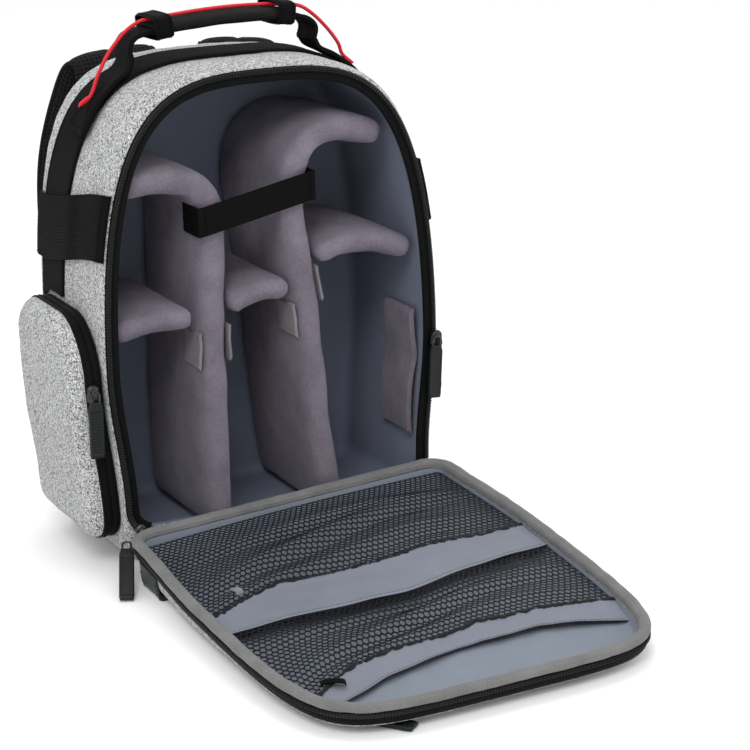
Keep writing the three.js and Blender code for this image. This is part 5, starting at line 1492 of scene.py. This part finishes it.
def net(name, starts, ends, depth, ridges, wave, cell=4.2):
    long = float(np.mean(np.asarray(ends) - np.asarray(starts)))
    down, wide, hole = cell * 0.88, 232.0, 0.80
    hexagon = np.array([(0, 0.62), (0.5, 0.30), (0.5, -0.30), (0, -0.62), (-0.5, -0.30), (-0.5, 0.30)])
    hexagon = hexagon * [cell, down * 1.04]
    r, c = np.meshgrid(np.arange(int(long / down) + 2), np.arange(int(wide / cell) + 2), indexing="ij")
    centres = np.stack([c * cell - wide / 2 + (r % 2) * cell / 2, r * down], -1).reshape(-1, 2)
    outer, inner = centres[:, None] + hexagon[None], centres[:, None] + hexagon[None] * hole
    made = []
    for flatten in (outer, inner):
        u = clamp(flatten[..., 0] / wide + 0.5)
        t = clamp(flatten[..., 1] / long)
        v = pocket_v(starts, ends, u, t, wave)
        half = panel_half(v, 9.9)
        x = mix(-half, half, u)
        made.append(on_panel(x, v, net_height(u, t, v, x, depth, ridges)))
    size = np.linalg.norm(np.cross(made[0][:, 2] - made[0][:, 0], made[0][:, 4] - made[0][:, 0]), axis=-1)
    whole = size > 2.2  # cells that the pocket's edge has not crushed
    top_out, top_in = made[0][whole], made[1][whole]
    drop = np.array([0, 0, 0.4])
    layers = [top_out + drop * 0.1, top_in, top_in - drop, top_out - drop]
    count = len(top_out)
    points = np.concatenate(layers, 1).reshape(-1, 3)
    faces = []
    ring = np.arange(6)
    after = (ring + 1) % 6
    first = (np.arange(count) * 24)[:, None]
    for a, b in ((0, 6), (6, 12), (12, 18)):
        corners = [first + a + ring, first + a + after, first + b + after, first + b + ring]
        faces.append(np.stack(corners, -1).reshape(-1, 4))
    faces = np.concatenate(faces)
    maker = Maker()
    maker.lay(points, faces, points[faces.ravel()][:, :2] * 0.001)
    thing = maker.piece(name + "_mesh", net_yarn, "net", name, sew=0.05, sharp=60)

net_1_start, net_2_start = [17, 16, 15, 14.5, 14], [v + 0.4 for v in hem_lines["hem_1"][1]]
net("net_1", net_1_start, [v - 0.4 for v in hem_lines["hem_1"][0]], 4.5,
    [(0.50, -0.34, 0.07, 3.4), (0.63, -0.36, 0.05, -2.6), (0.80, -0.22, 0.05, 2.4), (0.30, 0.16, 0.09, 2.2),
     (0.40, 0.05, 0.05, -1.8), (0.92, -0.1, 0.04, -1.6)], (0, 2))
net("net_2", net_2_start, [v - 0.4 for v in hem_lines["hem_2"][0]], 3.2,
    [(0.52, -0.42, 0.09, 2.8), (0.66, -0.40, 0.06, -2.0), (0.82, -0.2, 0.06, 1.8), (0.26, 0.12, 0.08, 2.0),
     (0.36, 0.02, 0.05, -1.4)], (3, 4))

# %% [markdown]
# Each net is gathered into a dark roll where it meets its satin hem, and sewn along the binding. The hems are folded
# sheets that lie over the net's edge with a few broad waves.

# %% Hems and gathers
def satin(name, depth, seed, wave, sink=0.0):
    starts, ends = hem_lines[name]
    columns = np.linspace(0, 1, 120)
    across_it = np.concatenate([[0, 0.01, 0.03, 0.07], np.linspace(0.12, 0.88, 14), [0.93, 0.97, 0.99, 1]])
    u, t = np.meshgrid(columns, across_it)
    v = pocket_v(starts, ends, u, t, wave)
    half = panel_half(v, 9.7)
    x = mix(-half, half, u)
    wide = np.mean(np.asarray(ends) - np.asarray(starts))
    base = rim_at(v, x) - net_under_rim + depth * np.sin(u * math.pi) - sink * t
    folds = 0.9 * uneven(on_panel(x, v, 0), 46, seed) + 0.35 * uneven(on_panel(x, v, 0), 17, seed + 1)
    roll = bell(t - 0.04, 0.05) + 0.7 * bell(t - 0.96, 0.04)
    z = base + folds * np.sin(clamp(u) * math.pi) ** 0.5 + roll * 0.6
    thick = hem(from_edge(t, 1) * wide, 1.15, 0.8)
    made = Maker()
    strip(made, on_panel(x, v, z + thick * 0.5), on_panel(x, v, z - thick * 0.5))
    for at in (0.045, 0.93):
        k = int(np.argmin(np.abs(across_it - at)))
        sew(made, on_panel(x[k], v[k], z[k] + 0.75)[2:-2], [0, 0, 1.0], 3.2)
    tape = Maker()
    for row, size, jitter in ((0, 1.5, 1.0), (-1, 0.45, 0.0)):
        line = on_panel(x[row], v[row], z[row]) + [0, 0, 0.25 if row else 0.6]
        bunched = np.stack([0 * u[0], 0.9 * uneven(line, 5, seed + 7), 0.7 * uneven(line, 4, seed + 8)], -1)
        line = line + jitter * bunched
        tangent = unit(np.gradient(line, axis=0))
        upwards = alike([0, 0, 1], line)
        thick_here = size * (1 + 0.45 * jitter * uneven(line, 7, seed + 9))[:, None, None]
        ring = circle(6, 1.0, 0.8)[None] * thick_here
        sideways = unit(np.cross(tangent, upwards))
        rolled_edge = line[:, None] + ring[..., :1] * sideways[:, None] + ring[..., 1:] * upwards[:, None]
        tape.grid(rolled_edge, round_it=True, flip=True)
    tape.piece(name + "_edges", net_yarn, "net", sew=0)
    thing = made.piece(name + "_satin", hem_cloth, "hem_cloth", name)

satin("hem_1", 1.2, 141, (2, 3))
satin("hem_2", 0.8, 151, (4, 5), 3.0)

# %% [markdown]
# The hinge is a strip of black cloth from the sill to the panel. A folded loop of felt marks the first hem's end and
# a short black loop the second's.

# %% Hinge strip and loops
hinge_wide = 180.0
u, t = np.meshgrid(cloth_columns(hinge_wide, (0, 0.4, 1.0, 2.0), 40), np.linspace(0, 1, 16))
y = mix(front - 0.3, front - 8.6, t) - 2.6 * t**6
z = 26 - 3 * np.sin(t * math.pi) + 0.35 * uneven(np.stack([u, 20 * t, 0 * u], -1), 24, 161)
x, thick = u - hinge_wide / 2, hem(from_edge(u, hinge_wide), 1.4, 1.2)
hinge = Maker()
strip(hinge, np.stack([x, y, z + 0.1 + thick], -1), np.stack([x, y, z], -1))
hinge_piece = hinge.piece("hinge_strip_cloth", stripe_cloth, "black_cloth", "hinge_strip")

def folded_loop(name, at, way, wide, long, rise, material, slot):
    """A short loop of tape that lies on a hem."""
    way = unit(np.array([*way, 0.0]))
    side = np.array([-way[1], way[0], 0.0])
    t = np.linspace(0, math.pi, 14)
    path = np.array(at) + np.outer(long * (1 - np.cos(t)) / 2, way) + np.outer(rise * np.sin(t) ** 0.7, [0, 0, 1])
    tangent, side = unit(np.gradient(path, axis=0)), alike(side, path)
    half, bevel, thick = wide / 2, wide / 2 - 0.3, 0.45
    maker = Maker()
    maker.sweep(path, side, unit(np.cross(tangent, side)),
                [(half, 0), (bevel, thick), (-bevel, thick), (-half, 0), (-bevel, -thick), (bevel, -thick)])
    maker.piece(name, material, slot, sew=0)

folded_loop("hem_1_loop", on_panel(-92, 112, float(rim_at(112, -92)) - 4.6), (0.35, -1.0), 6.0, 7.5, 2.4, felt, "felt")
folded_loop("hem_2_loop", on_panel(-97, 248, float(rim_at(248, -97)) - 5.6), (0.9, -0.35), 6.0, 14.0, 2.2, webbing,
    "webbing")

# %% [markdown]
# A slider is a small die-cast body with a bridge, and its puller hangs from a wire link. The puller is a rubber tab
# with a raised border round a ribbed field. Both are built from the same place and directions as their CAD nodes.

# %% Sliders and pullers
def round_tangent(loop):
    """The direction along a path that closes on itself."""
    return unit(np.roll(loop, -1, 0) - np.roll(loop, 1, 0))

def slider(name, place, lengthways, up_way, node):
    place, lengthways, up_way = np.array(place, float), unit(np.array(lengthways, float)), unit(np.array(up_way, float))
    sideways = np.cross(up_way, lengthways)
    stations = np.array([-6.5, -6.2, -5.4, -4.2, -2.4, 0, 2.4, 4.2, 5.4, 6.2, 6.5])
    half = np.array([1.6, 2.3, 3.3, 4.1, 4.5, 4.0, 3.7, 3.8, 3.2, 2.3, 1.7])
    high = np.array([2.2, 3.0, 3.7, 4.1, 4.2, 4.2, 4.2, 4.0, 3.6, 2.9, 2.3])
    rings = []
    for s, w, h in zip(stations, half, high):
        ring = loop_profile(2 * w, h / 2, h / 2, 3.6, 24, 3.6)
        waist = 1 - 0.22 * bell(ring[:, 1] / h, 0.16)
        beside, above = np.outer(ring[:, 0] * waist, sideways), np.outer(ring[:, 1] + h / 2, up_way)
        rings.append(place + lengthways * s + beside + above)
    made = Maker()
    made.tube(rings)
    bridge = through([(-4.2, 3.4), (-3.4, 4.9), (-1, 5.35), (1.6, 5.3), (3.6, 4.6), (4.0, 3.3)], 20)
    path = place + np.outer(bridge[:, 0], lengthways) + np.outer(bridge[:, 1], up_way)
    tangent = unit(np.gradient(path, axis=0))
    wide = alike(sideways, path)
    made.sweep(path, wide, np.cross(tangent, wide),
        [(1.5, 0), (1.2, 0.5), (-1.2, 0.5), (-1.5, 0), (-1.2, -0.4), (1.2, -0.4)])
    made.piece(name, metal, "zip_metal", node, sew=0, sharp=50)

def puller(name, start, direction, face, node, long=38.0, wide=10.0, thick=3.0, reach=6.0):
    start, direction, face = np.array(start, float), unit(np.array(direction, float)), np.array(face, float)
    sideways = unit(np.cross(face, direction))
    up_way = unit(np.cross(direction, sideways))
    point = lambda d, w, h: start + d[..., None] * direction + w[..., None] * sideways + h[..., None] * up_way
    side_steps, end_steps = [0, 0.15, 0.4, 0.8, 1.25, 1.6, 1.9], np.array([0, 0.15, 0.4, 0.8, 1.4, 2.0])
    columns = np.concatenate([side_steps, np.linspace(2.3, 7.7, 9), [8.1, 8.4, 8.75, 9.2, 9.6, 9.85, 10]]) * wide / 10
    rows = np.concatenate([end_steps, np.linspace(2.4, long - 2.4, int((long - 5) * 3.2)), long - end_steps[::-1]])
    w, d = np.meshgrid(columns - wide / 2, rows)
    from_side = wide / 2 - np.abs(w)
    body = hem(np.minimum(from_side, from_edge(d, long)), thick / 2, 1.1)
    field = ease((np.minimum(from_side, np.minimum(d - 5.0, long - 1.2 - d)) - 1.3) / 0.5)
    ribbed = body - field * (0.55 - 0.32 * np.abs(np.sin(d / 1.9 * math.pi)) ** 0.6)
    taper = 1 - 0.22 * (1 - ease(d / 5)) - 0.1 * ease((d - long + 3) / 3)
    made = Maker()
    strip(made, point(d + reach - 0.4, w * taper, ribbed), point(d + reach - 0.4, w * taper, -ribbed))
    made.piece(name, rubber, "puller", node, sharp=50)
    loop_long, loop_turn = reach + 1.6, signed(circle(40, 1.0), 0.7)
    along_it = loop_long / 2 - 0.3 + loop_turn[:, 0] * loop_long / 2
    path = point(along_it, loop_turn[:, 1] * wide * 0.29, 0 * along_it)
    normal = alike(up_way, path)
    link = Maker()
    link.sweep(path, unit(np.cross(round_tangent(path), normal)), normal, circle(8, 0.8), loop=True)
    link.piece(name + "_link", metal, "zip_metal")

coil_front = front - 0.3 - 1.2 - 0.3 - 2 - 0.3  # the tape, the coil and the gaps before each
at = wall(at_height(front, 130), front, -2.6)
slider("main_slider_right_body", (at[0], coil_front, at[2]), (0.04, 0, 1), (0, -1, 0), "main_slider_right")
puller("main_pull_right_tab", (at[0] - 2.2, coil_front - 6.3, at[2] + 3), (-0.08, -0.03, -1), (0, -1, 0),
    "main_pull_right")
at = wall(36 - 2.3, front, -2.6)
slider("main_slider_left_body", (at[0], coil_front, at[2]), (-0.8, 0, 1), (0, -1, 0), "main_slider_left")
puller("main_pull_left_tab", (at[0] - 13, coil_front - 4.1, at[2] - 4), (-0.33, -0.78, -0.5), (0, 0, 1),
    "main_pull_left", 42.0)
for side, pocket in pockets.items():
    y = front + pocket["front"]
    x = pocket["hand"] * (float(wall(at_height(y, 128), y)[0]) + pocket["band"] * 0.72)
    slider(f"pocket_slider_{side}_body", (x, y - 0.3, 128), (0, 0, 1), (0, -1, 0), f"pocket_slider_{side}")
    puller(f"pocket_pull_{side}_tab", (x, y - 6.6, 130), (pocket["hand"] * 0.04, -0.05, -1), (0, -1, 0),
        f"pocket_pull_{side}")
top_zip_v = 264
puller("lid_top_pull_tab", on_panel(-82, top_zip_v + 7.4, 2), (0.62, -0.78, 0), (0, 0, 1), "lid_top_pull", 26.0)
puller("lid_pocket_pull_tab", on_panel(104, 110, 2), (0.1, 0.99, 0), (0, 0, 1), "lid_pocket_pull", 30.0)

# %% [markdown]
# The wearer's side has a thick pad of spacer mesh with a channel down the spine and two across, so that air can pass.
# The photograph does not show it, so it follows what such bags have and stays plain.

# %% Back panel
outline_places = np.arange(0, 36, 0.15)
pad_rings = []
for margin, lift in ((12, 0), (11.3, 1.2), (11, 3.2), (11.2, 5.4), (12.2, 7.6), (14, 9.4), (17, 10.6), (21, 11)):
    ring = wall(outline_places, back, -margin)
    ring[:, 1] = back + 0.3 + lift
    pad_rings.append(ring)
centre = pad_rings[-1].mean(0)
last = pad_rings[-1]
pad_rings = np.stack(pad_rings + [mix(last, centre, draw) for draw in np.linspace(0.04, 0.98, 42)])
x, z = pad_rings[..., 0], pad_rings[..., 2]
channels = 4.6 * bell(x, 8)
for high in (118, 212):
    channels = channels + 2.6 * bell(z - high - 0.0006 * x**2 * 8, 5)
inside = clamp((np.arange(len(pad_rings)) - 6) / 3)[:, None]
pad_rings[..., 1] += inside * (np.minimum(0, 0.4 * uneven(pad_rings, 40, 171) - 0.3) - np.minimum(channels, 5.5))
pad = Maker()
pad.grid(pad_rings, round_it=True)
pad.cap(pad_rings[-1])
pad.cap(pad_rings[0], flip=True)
ring = wall(outline_places, back, -12.3)
ring[:, 1] = back + 1.3
y_axis = alike([0, 1, 0], ring)
pad.sweep(ring, unit(np.cross(round_tangent(ring), y_axis)), y_axis, circle(8, 1.25) + [-0.9, 0], loop=True)
straight_cloth(pad.piece("back_panel_pad", air_mesh, "air_mesh", "back_panel"))

# %% [markdown]
# A shoulder strap is a padded band with a bound edge. Its two edges are given as curves, because it is wide at the
# shoulder, turns inwards to the neck and narrows to the webbing that tightens it.

# %% Shoulder straps
pad_face = back + 0.3 + 11 + 0.3
strap_y = pad_face + 5.5

def shoulder_strap(hand):
    inner = through([(16, -1.8, 296), (17, 1.4, 314), (18, 8, 328), (21, 15, 326), (29, 19, 302), (43, 20, 262),
                     (50, 17, 210), (51, 11, 155), (51, 4, 108)], 110)
    outer = through([(74, -1.8, 288), (77, 1.4, 306), (78, 8, 322), (82, 15, 320), (92, 19, 296), (103, 20, 256),
                     (107, 17, 210), (105, 11, 158), (91, 4, 108)], 110)
    u = (1 - np.cos(np.linspace(0, math.pi, 29))) / 2
    line = mix(inner[:, None], outer[:, None], u[None, :, None])
    along = unit(np.gradient((inner + outer) / 2, axis=0))[:, None]
    normal = unit(np.cross(along, unit(outer - inner)[:, None]))
    ends = clamp(from_edge(np.arange(110), 109) / 7)[:, None]
    puff = (1 - np.abs(2 * u - 1) ** 3.2) ** 0.5
    seam = 0.9 * bell(u - 0.5, 0.035)[None] * ends
    thick = 5.5 * np.maximum(0.16, puff)[None] * (0.5 + 0.5 * np.sqrt(1 - (1 - ends) ** 2)) - seam
    bumps = 0.25 * uneven(line, 26, 181)
    side = np.array([hand, 1, 1])
    shift = np.array([0, strap_y, 0])
    made = Maker()
    up, down = normal * (thick + bumps)[..., None], normal * (thick - bumps)[..., None]
    strip(made, (line + up + shift) * side, (line - down + shift) * side)
    for edge, push in ((inner, -1), (outer, 1)):
        path = edge + unit(outer - inner) * push * 0.2 + shift
        across_way = unit(outer - inner)
        made.sweep(path * side, across_way * side, normal[:, 0] * side, circle(10, 1.2, 1.7))
    middle = mix(inner, outer, 0.5) + normal[:, 0] * 4.9 + shift
    sew(made, (middle * side)[6:-6], (normal[:, 0] * side)[6:-6], 3.6)
    name = "left" if hand < 0 else "right"
    made.piece(f"shoulder_strap_{name}_pad", air_mesh, "air_mesh", f"shoulder_strap_{name}")

    path = through([(74, 6, 101), (77, 8, 84), (84, 7, 66), (92, 4, 52), (97, 1.2, 40)], 60)
    along = unit(np.gradient(path, axis=0))
    x_axis = alike([1, 0, 0], path)
    off = unit(np.cross(along, x_axis))
    wide = 25.0
    columns = cloth_columns(wide, (0, 0.2, 0.5, 0.9), 16)
    base = path[:, None] + x_axis[:, None] * (columns - wide / 2)[None, :, None] + [0, pad_face, 0]
    thick = thin_web(columns, wide, 0.85)
    tail = Maker()
    strip(tail, (base + off[:, None] * thick) * side, (base - off[:, None] * thick) * side)
    tail.piece(f"strap_webbing_{name}_web", webbing, "webbing", f"strap_webbing_{name}")

    frame_ring = Maker()
    tilt = 0.08
    lean = lambda x, z: np.stack([77 + x, pad_face + 13.5 + z * tilt, 88 + z], -1)
    loop = lean(*(signed(circle(72, 1.0), 0.28) * [16.0, 11.2]).T)
    normal_y = alike(unit(np.array([0, 1.0, -tilt])), loop)
    profile = loop_profile(4.0, 2.9, 2.9, 3.0, 16, 3.0)
    frame_ring.sweep(loop * side, unit(np.cross(round_tangent(loop), normal_y)) * side, normal_y * side, profile,
        loop=True)
    path = lean(np.linspace(-15.5, 15.5, 12), np.zeros(12))
    upwards = alike(unit(np.array([0, tilt, 1.0])), path)
    frame_ring.sweep(path * side, upwards * side, alike([0, 1, -tilt], path) * side,
        loop_profile(4.6, 2.6, 2.6, 3.0, 16, 3.0))
    frame_ring.piece(f"strap_buckle_{name}_frame", nylon, "nylon", f"strap_buckle_{name}")

for hand in (-1, 1):
    shoulder_strap(hand)

# %% [markdown]
# Leathercloth covers what meets the ground: a panel under the body, and a band that goes up one side of the folded
# panel, under it and up the other side.

# %% Leathercloth
base_wide, base_deep, folds = 192.0, 84.0, (0, 0.4, 1.2, 3.0)
x, y = np.meshgrid(cloth_columns(base_wide, folds, 50), cloth_columns(base_deep, folds, 24))
thick = hem(np.minimum(from_edge(x, base_wide), from_edge(y, base_deep)), 0.72, 2.0)
base = Maker()
strip(base, *[np.stack([x - base_wide / 2, front + 26 + y, 0.75 + way * thick], -1) for way in (1, -1)])
base_piece = base.piece("base_panel_leather", leathercloth, "leathercloth", "base_panel")

def band_section(v, grow, foot_margin, foot_high, under, least):
    """The band's path round the folded panel: up one side, under it and up the other."""
    half = lambda margin: float(panel_half(v, margin))
    sides = []
    for hand in (-1, 1):
        low = float(band_foot(v, hand * half(6))) - 1
        points = [(half(6.2) + grow, low), (half(7.2) + grow + 0.2, mix(low, shell_bottom, 0.6)),
                  (half(foot_margin), foot_high), (half(14), under), (40, under)]
        sides.append([(hand * x, 0, z) for x, z in points])
    line = through(sides[0] + [(0, 0, under)] + sides[1][::-1], 120)
    return on_panel(line[:, 0], v, np.maximum(line[:, 2], least))

rows_out, rows_in = [], []
for v in np.concatenate([[16, 16.3, 17], np.linspace(18.5, 45.5, 22), [47, 47.7, 48]]):
    lip = 0.9 * (1 - clamp(min(v - 16, 48 - v) / 1.2)) ** 2
    rows_out.append(band_section(v, 2.2 - lip, 7.4, 0.45, 0.3, 0.15))
    rows_in.append(band_section(v, 0.9, 8.4, 3.5, 3.7, 3.3))
rows_out, rows_in = np.stack(rows_out), np.stack(rows_in)
rows_out[2:-2] += (0.25 * uneven(rows_out[2:-2], 18, 191))[..., None] * [1, 0, 0]
band = Maker()
strip(band, rows_out, rows_in)
for k in (3, -4):
    for part in (slice(3, 8), slice(-8, -3)):
        line = rows_out[k, part]
        outwards = unit(line - rows_in[k, part])
        sew(band, line + outwards * 0.15, outwards, 3.0)
band.piece("lid_leather_band", leathercloth, "leathercloth", "lid_leather")

# %% [markdown]
# Beneath the panel is the bag's outer pocket with its U-shaped zip, and a short zip above it. In this pose they face
# the ground, but they are the bag's front, so they are made like the rest.

# %% Outer pocket beneath the panel
def under_path(grow, count=200):
    """A U-shaped path on the panel's outside, seen from above, that far outside the pocket's edge."""
    half_wide, far_end, corner = 86, 246, 58
    radius = corner + grow
    points = [(half_wide + grow, 54.0)]
    points += [(half_wide - corner + radius * math.cos(a), far_end - corner + radius * math.sin(a))
               for a in np.linspace(0, math.pi / 2, 30)]
    points += [(-x, v) for x, v in reversed(points)]
    return walk(points, count=count)[0]

def flat_ring(grow, z, draw=0.0):
    path = mix(under_path(grow), np.array([0, 150.0]), draw)
    return on_panel(path[:, 0], path[:, 1], z)

face = Maker()
low = [(0, 3.7), (0, 1.6), (-0.3, 0.8), (-1.0, 0.3), (-2.0, 0.12)]
rings = [flat_ring(g, z) for g, z in low] + [flat_ring(-2, 0.1, d) for d in (0.1, 0.3, 0.6, 0.9)]
face.grid(np.stack(rings), round_it=True)
face.cap(rings[-1])
face.cap(rings[0], flip=True)
straight_cloth(face.piece("lid_pocket_face", heather, "heather", "lid_pocket"))

def zip_band(name, inner, outer, node):
    made = Maker()
    shares = np.array([0, 0.03, 0.1, 0.42, 0.47, 0.5, 0.53, 0.58, 0.9, 0.97, 1])
    depth = np.array([3.7, 1.5, 1.0, 0.95, 1.2, 1.9, 1.2, 0.95, 1.0, 1.5, 3.7])
    top = mix(inner[:, None], outer[:, None], shares[None, :, None])
    flat = np.array([1, 1, 0])
    strip(made, top * flat + np.stack([0 * depth, 0 * depth, depth], -1)[None], top * flat + [0, 0, 3.75])
    line, along = walk(mix(inner, outer, 0.5) * flat + [0, 0, 1.35], step=1.7)
    side_way = unit(np.cross(along, [0, 0, 1.0]))
    shape, faces = bar(1.9, 1.1, 0.9, 6)
    made.copies(shape, faces, line, side_way, along, alike([0, 0, 1], line))
    for share in (0.2, 0.8):
        sew(made, mix(inner, outer, share) * flat + [0, 0, 0.9], [0, 0, -1.0], 3.0)
    made.piece(name, tape_cloth, "black_cloth", node, sew=0)

zip_band("lid_pocket_zip_band", flat_ring(0.3, 0), flat_ring(11, 0), "lid_pocket_zip")
xs = np.linspace(-75, 75, 60)
zip_band("lid_top_zip_band", on_panel(xs, top_zip_v - 5.5, 0), on_panel(xs, top_zip_v + 5.5, 0), "lid_top_zip")

# %% Sizes and finish
bpy.context.view_layer.update()
low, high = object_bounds()
json.dumps([list(low), list(high)])
print("dressed box, mm:", [round(x * 1000, 1) for x in (*low, *high)])
shown = [o for o in bpy.data.objects if o.type == "MESH" and not o.hide_render and not o.name.startswith("floor")]
print("pieces:", len(shown), " triangles:", sum(len(p.vertices) - 2 for o in shown for p in o.data.polygons))
